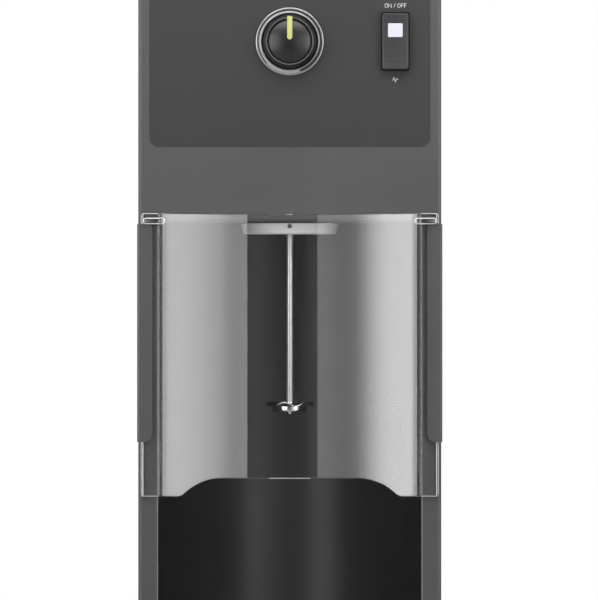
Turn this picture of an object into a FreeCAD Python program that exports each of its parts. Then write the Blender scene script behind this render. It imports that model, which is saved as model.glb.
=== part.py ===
import FreeCAD, Part
import math
import os

from FreeCAD import Vector

# Countertop drink mixer: a tall steel cabinet with a motor in its head, an open bay below it, and
# an agitator on a long shaft that whips hot chocolate or shakes in a cup held up under it.
# Millimetres. +Z is up, the front faces -Y, and the origin is on the ground under the middle.

# Cabinet: one sheet folded round the front and both sides, with a cap, a rear cover and a pan
cabinet_width = 228.0
cabinet_depth = 235.0
cabinet_height = 740.0
head_height = 228.0
sheet = 1.5
bend_radius = 2.5
rear_flange = 12.0
rear_sheet = 1.2
cap_height = 8.0
cap_rounding = 4.0
cap_rim = 2.0
cap_rim_depth = 6.0
fit_gap = 0.2

# Bay opening, its turned-in edges and the moulded liner behind them
jamb_width = 15.0
apron_height = 45.4
hem_depth = 10.0
hem_rounding = 1.0
lip_radius = 5.0
lip_height = 8.0
liner_wall = 2.5
liner_gap = 0.3
liner_headroom = 8.0
deck_top = 46.0
deck_sheet = 1.5
deck_skirt = 15.0

# Ground: pan and feet
foot_height = 10.0
foot_radius = 14.0
foot_inset = 22.0
pan_sheet = 2.0
pan_flange = 14.0
foot_screw_radius = 2.0
foot_screw_head = 4.2
foot_recess_radius = 6.0
foot_recess_depth = 5.0

# Drip tray and its grille
tray_height = 18.0
tray_wall = 1.2
tray_side_gap = 1.5
tray_setback = 2.0
tray_corner = 6.0
tray_lip_width = 80.0
tray_lip_reach = 9.0
tray_lip_thickness = 2.0
grille_gap = 0.8
grille_drop = 2.5
grille_bars = 16
grille_edge = 2.0
grille_bar_width = 7.0
grille_bar_thickness = 2.0
grille_bar_rounding = 2.0
grille_rails = 3
grille_rail_width = 8.0
grille_rail_thickness = 2.5
grille_rail_setback = 12.0
grille_rail_end = 1.5
grille_leg_radius = 3.0
grille_leg_inset = 29.5

# Splash shield, seen in plan as a bowed front with a flat wing each side
shield_sheet = 2.5
shield_inset = 2.0
shield_height = 213.2
shield_overlap = 7.4
shield_clearance = 0.6
wing_width = 15.0
bulge_draft = 2.5
bulge_shoulder = 15.8
bulge_depth = 37.8
bulge_root_radius = 1.5
bulge_shoulder_radius = 8.0
wave_inset = 46.3
wave_rise = 13.9
wave_upper_radius = 41.2
wave_lower_radius = 7.4
wing_corner = 2.0
lug_length = 17.0
lug_height = 5.0
lug_reach = 5.0
lug_inset = 1.6

# Guides that hold the wings of the shield
guide_sheet = 0.8
guide_cover = 11.5
guide_length = 164.0
guide_side_leg = 12.0
guide_bend = 1.8
guide_corner = 6.0
guide_lead_in = 3.0

# Control panel, knob and its potentiometer
panel_side_margin = 8.3
panel_top_margin = 14.0
panel_bottom_margin = 57.2
panel_corner = 7.5
panel_film = 0.25
control_drop = 91.4
bezel_outer_radius = 25.6
bezel_inner_radius = 21.7
bezel_height = 3.6
bezel_groove = 0.5
bezel_rim = 0.9
knob_radius = 20.6
knob_top_radius = 18.6
knob_height = 17.0
knob_gap = 1.0
knob_face_radius = 16.9
knob_face_dish = 0.8
pointer_width = 3.8
pointer_length = 17.8
pointer_proud = 0.3
pot_radius = 12.0
pot_depth = 13.0
pot_bushing_radius = 4.5
pot_bushing_reach = 7.0
pot_nut_washer_radius = 8.0
pot_nut_across = 12.0
pot_shaft_radius = 3.0
pot_shaft_reach = 14.0
running_gap = 0.05

# Rocker switch
switch_inset = 34.6
rocker_width = 19.8
rocker_height = 42.2
rocker_end_gap = 5.2
rocker_middle_gap = 1.3
rocker_end_height = 7.2
rocker_middle_height = 5.8
rocker_corner = 2.0
rocker_tilt = 10.0
switch_frame_width = 21.6
switch_frame_height = 44.4
switch_frame_rise = 1.6
switch_body_width = 20.4
switch_body_height = 37.0
switch_body_depth = 30.0
switch_wall = 1.6
rocker_neck_width = 14.0
rocker_neck_height = 10.0
rocker_pivot_depth = 4.0
pivot_pin_radius = 1.5
lens_width = 11.1
lens_height = 10.5
lens_rise = 8.3
lens_proud = 0.3
lens_seat = 1.2
terminal_count = 5
terminal_width = 6.3
terminal_length = 8.0
terminal_sheet = 0.8
terminal_pitch = 6.5

# Agitator train, from the tip up
spindle_setback = 88.0
shaft_radius = 2.7
agitator_drop = 137.0
agitator_radius = 18.1
agitator_sheet = 1.2
agitator_waves = 6
agitator_wave = 1.5
agitator_flat_radius = 8.0
button_radius = 13.2
button_height = 5.2
button_rounding = 2.2
tip_nut_radius = 2.9
tip_nut_height = 2.2
upper_nut_radius = 3.4
upper_nut_height = 1.4
collar_radius = 37.2
collar_foot_radius = 35.2
collar_height = 8.6
collar_drop = 8.1
collar_wall = 3.0
collar_rounding = 2.6
collar_hub_radius = 9.0
set_screw_radius = 1.7
set_screw_edge = 0.9

# Spindle bearing housing under the motor plate
plate_rise = 24.0
plate_sheet = 3.0
plate_flange = 20.0
bearing_bore_radius = 4.0
bearing_outer_radius = 11.0
bearing_width = 7.0
bearing_race = 1.5
housing_nose_radius = 18.0
housing_body_radius = 16.0
housing_flange_radius = 32.0
housing_flange = 6.0
housing_nose_length = 9.0
housing_body_length = 17.0
housing_gap = 0.3
housing_screw_radius = 2.5
housing_screw_circle = 25.0
spindle_nose_radius = 7.0
spindle_nose_length = 10.5
seal_width = 5.0

# Jaw coupling between the spindle and the motor shaft
coupling_radius = 15.0
coupling_hub = 11.0
coupling_jaw = 6.0
coupling_jaw_angle = 42.0
coupling_gap = 0.5
coupling_lift = 3.0

# Motor, stood on rubber mounts and posts
isolator_radius = 8.0
isolator_height = 9.0
post_radius = 4.5
post_height = 42.0
post_circle = 50.0
motor_radius = 42.0
motor_wall = 3.0
coil_overhang = 5.0
coil_gap = 1.0
coil_width = 12.0
coil_backing = 5.5
lower_bell_height = 26.0
field_height = 44.0
upper_bell_height = 36.0
field_bore_radius = 28.5
air_gap = 0.6
armature_slots = 12
armature_slot_width = 3.0
armature_slot_depth = 7.0
commutator_radius = 12.0
commutator_length = 16.0
fan_radius = 36.0
fan_blades = 9
fan_height = 9.0
fan_sheet = 1.2
brush_width = 8.0
brush_holder_wall = 1.5
bell_windows = 6
window_width = 14.0
window_height = 10.0

# Control board on the motor plate
board_width = 44.0
board_length = 92.0
board_sheet = 1.6
board_rise = 8.0
board_margin = 5.0
board_shift = 30.0
board_side_gap = 2.0
heat_sink_length = 40.0
heat_sink_height = 24.0
heat_sink_fins = 5
heat_sink_pitch = 9.0
heat_sink_fin = 2.0
heat_sink_reach = 8.0
heat_sink_back = 4.0
standoff_radius = 2.5

# Rear cover, its vents and screws, and the cord gland
vent_rows = 11
vent_columns = 2
vent_width = 62.0
vent_slot = 4.0
vent_pitch = 9.0
vent_spacing = 82.0
vent_drop = 42.0
cover_screw_rows = 4
cover_screw_radius = 1.6
cover_screw_head = 3.2
cover_screw_head_height = 1.8
gland_bore_radius = 4.0
gland_thread_radius = 7.5
gland_nut_radius = 11.0
gland_nut_length = 6.0
gland_cap_length = 13.0
gland_rise = 36.0
gland_inset = 44.0

# Places worked out from the sizes above
half_width = cabinet_width / 2
opening_half = half_width - jamb_width
shield_width = cabinet_width - 2 * shield_inset
bulge_width = shield_width - 2 * wing_width
wave_width = bulge_width - 2 * wave_inset
panel_width = cabinet_width - 2 * panel_side_margin
panel_height = head_height - panel_top_margin - panel_bottom_margin
switch_offset = half_width - switch_inset
gland_offset = half_width - gland_inset
slot_gap = shield_sheet + 2 * shield_clearance
shield_reach = shield_clearance + bulge_depth
gland_reach = gland_cap_length
y_front = (shield_reach - cabinet_depth - gland_reach) / 2
y_rear = y_front + cabinet_depth
y_axis = y_front + spindle_setback
y_film = y_front - panel_film
inner_half = half_width - sheet
bay_top = cabinet_height - head_height
shell_top = cabinet_height - cap_height
shell_bottom = foot_height
y_cover = y_rear - rear_sheet
liner_half = opening_half + sheet + liner_gap
shield_top = bay_top + shield_overlap
shield_bottom = shield_top - shield_height
guide_top = bay_top - fit_gap * 4
control_z = cabinet_height - control_drop
plate_z = bay_top + plate_rise
plate_top = plate_z + plate_sheet
tray_half = opening_half - tray_side_gap
motor_z = plate_top + isolator_height + post_height


def outline(corners, place):
    """Flat face through corners (u, v, radius), each corner rounded by its radius."""
    count = len(corners)
    bends = []
    for i, (u, v, radius) in enumerate(corners):
        here = Vector(u, v, 0)
        back = Vector(*corners[i - 1][:2], 0) - here
        ahead = Vector(*corners[(i + 1) % count][:2], 0) - here
        if radius <= 0:
            bends.append((here, None, here))
            continue
        back.normalize()
        ahead.normalize()
        half = back.getAngle(ahead) / 2
        middle = back + ahead
        middle.normalize()
        reach = radius / math.tan(half)
        crown = here + middle * (radius / math.sin(half) - radius)
        bends.append((here + back * reach, crown, here + ahead * reach))
    edges = []
    for i, (start, crown, end) in enumerate(bends):
        start_3d, end_3d = place(start.x, start.y), place(end.x, end.y)
        if crown is not None:
            edges.append(Part.Arc(start_3d, place(crown.x, crown.y), end_3d).toShape())
        following = bends[(i + 1) % count][0]
        next_3d = place(following.x, following.y)
        if end_3d.distanceToPoint(next_3d) > 1e-6:
            edges.append(Part.LineSegment(end_3d, next_3d).toShape())
    return Part.Face(Part.Wire(edges))


def folded(corners, thickness, place):
    """Face of a folded sheet: the line through corners, thickened to its left side."""
    points = [Vector(u, v, 0) for u, v, radius in corners]
    headings = [(b - a).normalize() for a, b in zip(points, points[1:])]
    normals = [Vector(-h.y, h.x, 0) for h in headings]
    other = []
    for i, (u, v, radius) in enumerate(corners):
        before, after = normals[max(i - 1, 0)], normals[min(i, len(normals) - 1)]
        shift = (before + after) * (thickness / (1 + before.dot(after)))
        turns_left = 0 < i < len(points) - 1 and headings[i - 1].cross(headings[i]).z > 0
        inner = max(radius - thickness, 0) if turns_left else radius + thickness
        other.append((u + shift.x, v + shift.y, inner if radius > 0 else 0))
    return outline(list(corners) + other[::-1], place)


def in_plan(z):
    return lambda x, y: Vector(x, y, z)


def in_front_view(y):
    return lambda x, z: Vector(x, y, z)


def in_side_view(x):
    return lambda y, z: Vector(x, y, z)


def block(x0, x1, y0, y1, z0, z1):
    return Part.makeBox(x1 - x0, y1 - y0, z1 - z0, Vector(x0, y0, z0))


def rod_z(radius, z0, z1, x=0.0, y=0.0):
    return Part.makeCylinder(radius, z1 - z0, Vector(x, y, z0), Vector(0, 0, 1))


def rod_y(radius, y0, y1, x=0.0, z=0.0):
    return Part.makeCylinder(radius, y1 - y0, Vector(x, y0, z), Vector(0, 1, 0))


def turned_z(corners, x=0.0, y=None):
    """Solid of revolution about an upright axis, from corners (radius, z, rounding)."""
    y = y_axis if y is None else y
    face = outline(corners, lambda r, z: Vector(x + r, y, z))
    return face.revolve(Vector(x, y, 0), Vector(0, 0, 1), 360)


def turned_y(corners, x=0.0, z=0.0):
    """Solid of revolution about an axis that runs front to back, from corners (radius, y, rounding)."""
    face = outline(corners, lambda r, y: Vector(x + r, y, z))
    return face.revolve(Vector(x, 0, z), Vector(0, 1, 0), 360)


def hexagon_z(across, z0, z1, x, y):
    radius = across / math.sqrt(3)
    points = [
        (x + radius * math.cos(math.radians(60 * i)), y + radius * math.sin(math.radians(60 * i)), 0)
        for i in range(6)
    ]
    return outline(points, in_plan(z0)).extrude(Vector(0, 0, z1 - z0))


def hexagon_y(across, y0, y1, x, z):
    radius = across / math.sqrt(3)
    points = [
        (x + radius * math.cos(math.radians(60 * i)), z + radius * math.sin(math.radians(60 * i)), 0)
        for i in range(6)
    ]
    return outline(points, in_front_view(y0)).extrude(Vector(0, y1 - y0, 0))


def mirrored(shape):
    return shape.mirror(Vector(0, 0, 0), Vector(1, 0, 0))


def inside_shell(inset, z0, z1):
    """Prism that fits inside the folded shell, its corners rounded past the shell's bends."""
    x = inner_half - fit_gap - inset
    y0 = y_front + sheet + fit_gap + inset
    y1 = y_cover - sheet - fit_gap - inset
    corners = [
        (-x, y0, bend_radius),
        (x, y0, bend_radius),
        (x, y1, bend_radius),
        (-x, y1, bend_radius),
    ]
    return outline(corners, in_plan(z0)).extrude(Vector(0, 0, z1 - z0))


def both_sides(shape):
    return Part.makeCompound([shape, mirrored(shape)])


def tray_plan(inset, z0, z1, front=None):
    """D-shaped prism: a straight front and a half-round back centred on the spindle."""
    half = tray_half - inset
    front = y_front + tray_setback + inset if front is None else front
    corner = max(tray_corner - inset, 0.5)
    corners = [
        (-half, front, corner),
        (half, front, corner),
        (half, y_axis + half, half),
        (-half, y_axis + half, half),
    ]
    return outline(corners, in_plan(z0)).extrude(Vector(0, 0, z1 - z0))


def foot_places():
    x = half_width - foot_inset
    return [(sx * x, y) for y in (y_front + foot_inset, y_rear - foot_inset) for sx in (-1, 1)]


def cabinet_shell():
    """Front and both sides in one folded sheet, with the bay cut out and its edges turned in.

    The bay's upper edge is turned in with a wider bend than its sides.
    """
    y_flange = y_cover
    path = [
        (-inner_half + rear_flange, y_flange, 0),
        (-half_width, y_flange, bend_radius),
        (-half_width, y_front, bend_radius),
        (half_width, y_front, bend_radius),
        (half_width, y_flange, bend_radius),
        (inner_half - rear_flange, y_flange, 0),
    ]
    wrap = folded(path, sheet, in_plan(shell_bottom)).extrude(Vector(0, 0, shell_top - shell_bottom))
    y_cut = y_front + sheet + 1
    opening = block(
        -opening_half, opening_half, y_front - 1, y_cut, apron_height, bay_top + lip_height
    )
    hem_top = bay_top + sheet
    hem_reach = opening_half + 2 * sheet
    strip = block(opening_half, hem_reach, y_front - 1, y_cut, deck_top, hem_top)
    hem_path = [
        (opening_half, y_front + hem_depth, 0),
        (opening_half, y_front, hem_rounding),
        (hem_reach, y_front, 0),
    ]
    hem = folded(hem_path, sheet, in_plan(deck_top)).extrude(Vector(0, 0, hem_top - deck_top))
    lip_path = [
        (y_front, bay_top + lip_height, 0),
        (y_front, bay_top, lip_radius),
        (y_front + hem_depth, bay_top, 0),
    ]
    lip = folded(lip_path, sheet, in_side_view(-opening_half)).extrude(Vector(2 * opening_half, 0, 0))
    shell = wrap.cut([opening, strip, mirrored(strip)])
    shell = shell.fuse([hem, mirrored(hem), lip]).removeSplitter()
    knob_hole = rod_y(pot_bushing_radius + fit_gap, y_front - 1, y_front + sheet + 1, 0, control_z)
    switch_hole = block(
        switch_offset - switch_body_width / 2 - fit_gap,
        switch_offset + switch_body_width / 2 + fit_gap,
        y_front - 1,
        y_front + sheet + 1,
        control_z - switch_body_height / 2 - fit_gap,
        control_z + switch_body_height / 2 + fit_gap,
    )
    return shell.cut([knob_hole, switch_hole])


def top_cap():
    """Cap with rounded upper edges and a rim that drops inside the shell."""
    corners = [
        (-half_width, y_front, bend_radius),
        (half_width, y_front, bend_radius),
        (half_width, y_rear, bend_radius),
        (-half_width, y_rear, bend_radius),
    ]
    cap = outline(corners, in_plan(shell_top)).extrude(Vector(0, 0, cap_height))
    upper = [e for e in cap.Edges if abs(e.BoundBox.ZMin - cabinet_height) < 0.01]
    cap = cap.makeFillet(cap_rounding, upper)
    rim = inside_shell(0, shell_top - cap_rim_depth, shell_top)
    under = inside_shell(cap_rim, shell_top - cap_rim_depth, cabinet_height - cap_rounding)
    return cap.fuse(rim).cut(under)


def vent_slots():
    slots = []
    for column in range(vent_columns):
        x = (column - (vent_columns - 1) / 2) * vent_spacing
        for row in range(vent_rows):
            z = shell_top - vent_drop - row * vent_pitch
            corners = [
                (x - vent_width / 2, z - vent_slot / 2, vent_slot / 2 - 0.01),
                (x + vent_width / 2, z - vent_slot / 2, vent_slot / 2 - 0.01),
                (x + vent_width / 2, z + vent_slot / 2, vent_slot / 2 - 0.01),
                (x - vent_width / 2, z + vent_slot / 2, vent_slot / 2 - 0.01),
            ]
            slots.append(outline(corners, in_front_view(y_cover - 1)).extrude(Vector(0, rear_sheet + 2, 0)))
    return slots


def cover_screw_places():
    x = inner_half - rear_flange / 2
    low, high = shell_bottom + pan_flange, shell_top - cap_rim_depth - pan_flange
    step = (high - low) / (cover_screw_rows - 1)
    return [(sx * x, low + i * step) for i in range(cover_screw_rows) for sx in (-1, 1)]


def rear_cover():
    """Flat cover over the whole back, with cooling slots behind the motor and the gland hole."""
    corners = [
        (-half_width, shell_bottom, bend_radius),
        (half_width, shell_bottom, bend_radius),
        (half_width, shell_top, bend_radius),
        (-half_width, shell_top, bend_radius),
    ]
    cover = outline(corners, in_front_view(y_cover)).extrude(Vector(0, rear_sheet, 0))
    holes = [
        rod_y(cover_screw_radius, y_cover - 1, y_rear + 1, x, z) for x, z in cover_screw_places()
    ]
    holes.append(
        rod_y(gland_thread_radius + fit_gap, y_cover - 1, y_rear + 1, -gland_offset, plate_top + gland_rise)
    )
    return cover.cut(vent_slots() + holes)


def rear_cover_screws():
    """Pan-head screws into the shell's rear flanges, with a cross recess in each head."""
    screws = []
    for x, z in cover_screw_places():
        head = turned_y(
            [
                (0, y_rear, 0),
                (cover_screw_head, y_rear, 0),
                (cover_screw_head, y_rear + cover_screw_head_height, 0.9),
                (0, y_rear + cover_screw_head_height, 0),
            ],
            x,
            z,
        )
        arm = cover_screw_head * 0.55
        top = y_rear + cover_screw_head_height
        cross = block(x - arm, x + arm, top - 1, top + 1, z - 0.4, z + 0.4).fuse(
            block(x - 0.4, x + 0.4, top - 1, top + 1, z - arm, z + arm)
        )
        shank = rod_y(cover_screw_radius - running_gap, y_cover, y_rear, x, z)
        screws.append(head.fuse(shank).cut(cross))
    return Part.makeCompound(screws)


def base_pan():
    """Pan that closes the bottom, with flanges turned up inside the shell."""
    low, high = shell_bottom, shell_bottom + pan_flange
    pan = inside_shell(0, low, high)
    hollow = inside_shell(pan_sheet, low + pan_sheet, high + 1)
    holes = [rod_z(foot_screw_radius + 0.1, low - 1, high, fx, fy) for fx, fy in foot_places()]
    return pan.cut([hollow] + holes)


def rubber_foot(x, y):
    """Round foot, flared at the ground, with a recess for its screw."""
    low = foot_recess_depth
    return turned_z(
        [
            (foot_recess_radius, 0, 0),
            (foot_radius, 0, 1.0),
            (foot_radius - 1.5, foot_height, 0.8),
            (foot_screw_radius + 0.1, foot_height, 0),
            (foot_screw_radius + 0.1, low, 0),
            (foot_recess_radius, low, 0),
        ],
        x,
        y,
    )


def foot_screws():
    """Screws up through the feet and the pan, each with its nut."""
    screws = []
    for x, y in foot_places():
        head_low = foot_recess_depth - 2.5
        head = rod_z(foot_screw_head, head_low, foot_recess_depth, x, y)
        nut_low = shell_bottom + pan_sheet
        shank = rod_z(foot_screw_radius, foot_recess_depth, nut_low + 4.5, x, y)
        nut = hexagon_z(7.0, nut_low, nut_low + 3.2, x, y)
        screws.append(head.fuse([shank, nut]))
    return Part.makeCompound(screws)


def bay_floor():
    """Deck under the bay, with skirts turned down along the cabinet's sides."""
    whole = inside_shell(0, deck_top - deck_skirt, deck_top)
    x = inner_half - fit_gap - deck_sheet
    under = block(-x, x, y_front, y_rear, deck_top - deck_skirt, deck_top - deck_sheet)
    return whole.cut(under)


def bay_liner():
    """Moulded liner: straight sides, a half-round back centred on the spindle, and a ceiling."""
    y0 = y_front + sheet
    back = y_axis + liner_half
    outer_half = liner_half + liner_wall
    path = [
        (-liner_half, y0, 0),
        (-liner_half, back, liner_half),
        (liner_half, back, liner_half),
        (liner_half, y0, 0),
    ]
    ceiling = bay_top + liner_headroom
    wall = folded(path, liner_wall, in_plan(deck_top)).extrude(Vector(0, 0, ceiling - deck_top))
    lid_plan = [
        (-outer_half, y0, 0),
        (outer_half, y0, 0),
        (outer_half, y_axis + outer_half, outer_half),
        (-outer_half, y_axis + outer_half, outer_half),
    ]
    lid = outline(lid_plan, in_plan(ceiling)).extrude(Vector(0, 0, liner_wall))
    hole = rod_z(housing_nose_radius + housing_gap, ceiling - 1, ceiling + 5, 0, y_axis)
    return wall.fuse(lid).cut(hole).removeSplitter()


def drip_tray():
    """Loose tray on the bay floor, with a finger lip at the front."""
    low, high = deck_top, deck_top + tray_height
    tray = tray_plan(0, low, high).cut(tray_plan(tray_wall, low + tray_wall, high + 1))
    y_lip = y_front + tray_setback
    lip_corners = [
        (-tray_lip_width / 2, y_lip - tray_lip_reach, 5),
        (tray_lip_width / 2, y_lip - tray_lip_reach, 5),
        (tray_lip_width / 2, y_lip + tray_wall / 2, 0),
        (-tray_lip_width / 2, y_lip + tray_wall / 2, 0),
    ]
    lip = outline(lip_corners, in_plan(high - tray_lip_thickness)).extrude(
        Vector(0, 0, tray_lip_thickness)
    )
    return tray.fuse(lip).removeSplitter()


def round_reach(radius, offset):
    """How far a circle reaches past its centre, at an offset to the side."""
    return math.sqrt(radius**2 - offset**2)


def drip_grille():
    """Flat bars welded across three rails, on four legs that stand in the tray."""
    inset = tray_wall + grille_gap
    top = deck_top + tray_height - grille_drop
    rail_top = top - grille_bar_thickness
    rail_low = rail_top - grille_rail_thickness
    radius = tray_half - inset
    y_first = y_front + tray_setback + inset
    half = grille_bar_width / 2
    pitch = 2 * (radius - half - grille_edge) / (grille_bars - 1)
    pieces = []
    for i in range(grille_bars):
        x = (i - (grille_bars - 1) / 2) * pitch
        y_last = y_axis + round_reach(radius, abs(x) + half)
        corners = [
            (x - half, y_first, grille_bar_rounding),
            (x + half, y_first, grille_bar_rounding),
            (x + half, y_last, grille_bar_rounding),
            (x - half, y_last, grille_bar_rounding),
        ]
        pieces.append(outline(corners, in_plan(rail_top)).extrude(Vector(0, 0, grille_bar_thickness)))
    rail_half = grille_rail_width / 2
    y_front_rail = y_first + grille_rail_setback
    leg_x = radius - grille_leg_inset
    y_back_rail = y_axis + round_reach(radius - grille_rail_end, leg_x + grille_leg_radius) - rail_half
    for i in range(grille_rails):
        y = y_front_rail + (y_back_rail - y_front_rail) * i / (grille_rails - 1)
        reach = round_reach(radius, max(y + rail_half - y_axis, 0)) - grille_rail_end
        pieces.append(block(-reach, reach, y - rail_half, y + rail_half, rail_low, rail_top))
    leg_low = deck_top + tray_wall
    for y in (y_front_rail, y_back_rail):
        pieces += [rod_z(grille_leg_radius, leg_low, rail_low, side * leg_x, y) for side in (-1, 1)]
    return Part.makeCompound(pieces)


def shield_plan():
    """Corners of the shield's front skin in plan, from the left wing's edge to the right's."""
    y_wing = y_front - shield_clearance - shield_sheet
    half, root = shield_width / 2, bulge_width / 2
    y_shoulder = y_front - shield_clearance - bulge_shoulder
    chord = root - bulge_draft
    rise = bulge_depth - bulge_shoulder
    room = bulge_shoulder_radius * 0.6
    slope = 2 * math.atan(rise / (chord + room))
    front_radius = (chord / math.cos(slope) - room) / math.tan(slope)
    y_crown = y_shoulder - chord * math.tan(slope)
    return [
        (-half, y_wing, 0),
        (-root, y_wing, bulge_root_radius),
        (-root + bulge_draft, y_shoulder, bulge_shoulder_radius),
        (0, y_crown, front_radius),
        (root - bulge_draft, y_shoulder, bulge_shoulder_radius),
        (root, y_wing, bulge_root_radius),
        (half, y_wing, 0),
    ]


def splash_shield():
    """Clear shield: wings in the guides, a bowed front, a waved lower edge and two stop lugs."""
    skin = folded(shield_plan(), shield_sheet, in_plan(shield_bottom))
    shield = skin.extrude(Vector(0, 0, shield_height))
    span = wave_upper_radius + wave_lower_radius
    half_angle = math.acos(1 - wave_rise / span)
    flat, foot = wave_width / 2, wave_width / 2 + span * math.sin(half_angle)
    low, high = shield_bottom, shield_bottom + wave_rise
    knee = math.tan(half_angle / 2)
    corners = [
        (-foot - wave_lower_radius, low - 9, 0),
        (foot + wave_lower_radius, low - 9, 0),
        (foot + wave_lower_radius, low, 0),
        (foot - wave_lower_radius * knee, low, wave_lower_radius),
        (flat + wave_upper_radius * knee, high, wave_upper_radius),
        (-flat - wave_upper_radius * knee, high, wave_upper_radius),
        (-foot + wave_lower_radius * knee, low, wave_lower_radius),
        (-foot - wave_lower_radius, low, 0),
    ]
    y0 = y_front - shield_reach - 9
    wave = outline(corners, in_front_view(y0)).extrude(Vector(0, shield_reach + 18, 0))
    half = shield_width / 2
    mask_corners = [
        (-half, shield_bottom, wing_corner),
        (half, shield_bottom, wing_corner),
        (half, shield_top, wing_corner),
        (-half, shield_top, wing_corner),
    ]
    mask = outline(mask_corners, in_front_view(y0)).extrude(Vector(0, shield_reach + 18, 0))
    shield = shield.cut(wave).common(mask)
    outer = half - lug_inset
    round_end = lug_height / 2 - 0.01
    y_wing = y_front - shield_clearance - shield_sheet
    lug_corners = [
        (outer - lug_length, guide_top, round_end),
        (outer, guide_top, round_end),
        (outer, guide_top + lug_height, round_end),
        (outer - lug_length, guide_top + lug_height, round_end),
    ]
    lug = outline(lug_corners, in_front_view(y_wing - lug_reach)).extrude(
        Vector(0, lug_reach + shield_sheet / 2, 0)
    )
    return shield.fuse([lug, mirrored(lug)]).removeSplitter()


def right_guide():
    """Folded strip: a leg spot-welded to the cabinet's side and a leg over the shield's wing."""
    x_out = half_width + guide_sheet
    x_in = x_out - guide_cover
    y_leg = y_front - slot_gap - guide_sheet
    low = guide_top - guide_length
    path = [(x_in, y_leg, 0), (x_out, y_leg, guide_bend), (x_out, y_front + guide_side_leg, 0)]
    strip = folded(path, guide_sheet, in_plan(low)).extrude(Vector(0, 0, guide_length))
    corners = [
        (x_in, low, guide_corner),
        (x_out + 1, low, 0),
        (x_out + 1, guide_top, 0),
        (x_in + guide_lead_in / 2, guide_top, 0),
        (x_in, guide_top - guide_lead_in, 0),
    ]
    depth = slot_gap + guide_sheet + guide_side_leg + 2
    mask = outline(corners, in_front_view(y_leg - 1)).extrude(Vector(0, depth, 0))
    return strip.common(mask)


def control_panel():
    """Film with the control markings, stuck on the head's front."""
    top = cabinet_height - panel_top_margin
    low = top - panel_height
    half = panel_width / 2
    corners = [
        (-half, low, panel_corner),
        (half, low, panel_corner),
        (half, top, panel_corner),
        (-half, top, panel_corner),
    ]
    film = outline(corners, in_front_view(y_film)).extrude(Vector(0, panel_film, 0))
    knob_hole = rod_y(pot_bushing_radius + fit_gap, y_film - 1, y_front + 1, 0, control_z)
    switch_hole = block(
        switch_offset - switch_body_width / 2 - fit_gap,
        switch_offset + switch_body_width / 2 + fit_gap,
        y_film - 1,
        y_front + 1,
        control_z - switch_body_height / 2 - fit_gap,
        control_z + switch_body_height / 2 + fit_gap,
    )
    return film.cut([knob_hole, switch_hole])


def knob_bezel():
    """Bright ring round the knob, with a shallow groove for the speed wedge."""
    y0, y1 = y_film, y_film - bezel_height
    groove_out, groove_in = bezel_outer_radius - bezel_rim, bezel_inner_radius + bezel_rim
    return turned_y(
        [
            (bezel_inner_radius, y0, 0),
            (bezel_outer_radius, y0, 0),
            (bezel_outer_radius, y1, 0.4),
            (groove_out, y1, 0.15),
            (groove_out, y1 + bezel_groove, 0),
            (groove_in, y1 + bezel_groove, 0),
            (groove_in, y1, 0.15),
            (bezel_inner_radius, y1, 0.4),
        ],
        0,
        control_z,
    )


def speed_knob():
    """Turned knob with a tapered skirt, a rounded shoulder, a ring groove and a dished face."""
    y0, y1 = y_film - knob_gap, y_film - knob_height
    knob = turned_y(
        [
            (0, y0, 0),
            (knob_radius, y0, 0.5),
            (knob_top_radius, y1, 1.6),
            (knob_face_radius, y1, 0.3),
            (knob_face_radius - 0.3, y1 + knob_face_dish, 0.2),
            (0, y1 + knob_face_dish * 0.4, 0),
        ],
        0,
        control_z,
    )
    pocket = pointer_block(y1 - 1, 0)
    bore = pot_shaft_solid(running_gap, y_front - pot_shaft_reach - running_gap, y_front)
    recess_end = y_front - pot_bushing_reach - knob_gap
    recess = rod_y(pot_nut_washer_radius + knob_gap, recess_end, y_film, 0, control_z)
    return knob.cut([pocket, bore, recess])


def pointer_block(y0, inset):
    """Bar from near the knob's centre to its shoulder, rounded at the inner end."""
    half = pointer_width / 2 - inset
    z0 = control_z + 1.1 + inset
    corners = [
        (-half, z0, half - 0.01),
        (half, z0, half - 0.01),
        (half, control_z + 1.1 + pointer_length, 0.3),
        (-half, control_z + 1.1 + pointer_length, 0.3),
    ]
    depth = y_film - knob_height + knob_face_dish + 1.2 - y0
    return outline(corners, in_front_view(y0)).extrude(Vector(0, depth, 0))


def knob_pointer():
    return pointer_block(y_film - knob_height - pointer_proud, fit_gap / 2)


def pot_shaft_solid(grow, y0, y1):
    """D-shaped shaft along Y through the knob's axis."""
    shaft = rod_y(pot_shaft_radius + grow, y0, y1, 0, control_z)
    radius = pot_shaft_radius + grow
    flat = block(
        -radius - 1,
        radius + 1,
        y0 - 1,
        y_front - pot_bushing_reach + 1,
        control_z - radius - 1,
        control_z - pot_shaft_radius * 0.55 - grow,
    )
    return shaft.cut(flat)


def pot_shaft():
    return pot_shaft_solid(0, y_front - pot_shaft_reach, y_front + sheet + 2)


def potentiometer():
    """Speed potentiometer behind the panel: a can, a bushing through the panel and three tags."""
    y_can = y_front + sheet
    can = rod_y(pot_radius, y_can, y_can + pot_depth, 0, control_z)
    bushing = rod_y(pot_bushing_radius, y_front - pot_bushing_reach, y_can, 0, control_z)
    bore = rod_y(
        pot_shaft_radius + running_gap,
        y_front - pot_bushing_reach - 1,
        y_can + 2 + running_gap,
        0,
        control_z,
    )
    tags = [
        block(x - 1, x + 1, y_can + 4, y_can + 5, control_z - pot_radius - 6, control_z - pot_radius + 1)
        for x in (-5.0, 0.0, 5.0)
    ]
    return can.fuse(bushing).cut(bore).fuse(tags)


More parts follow.
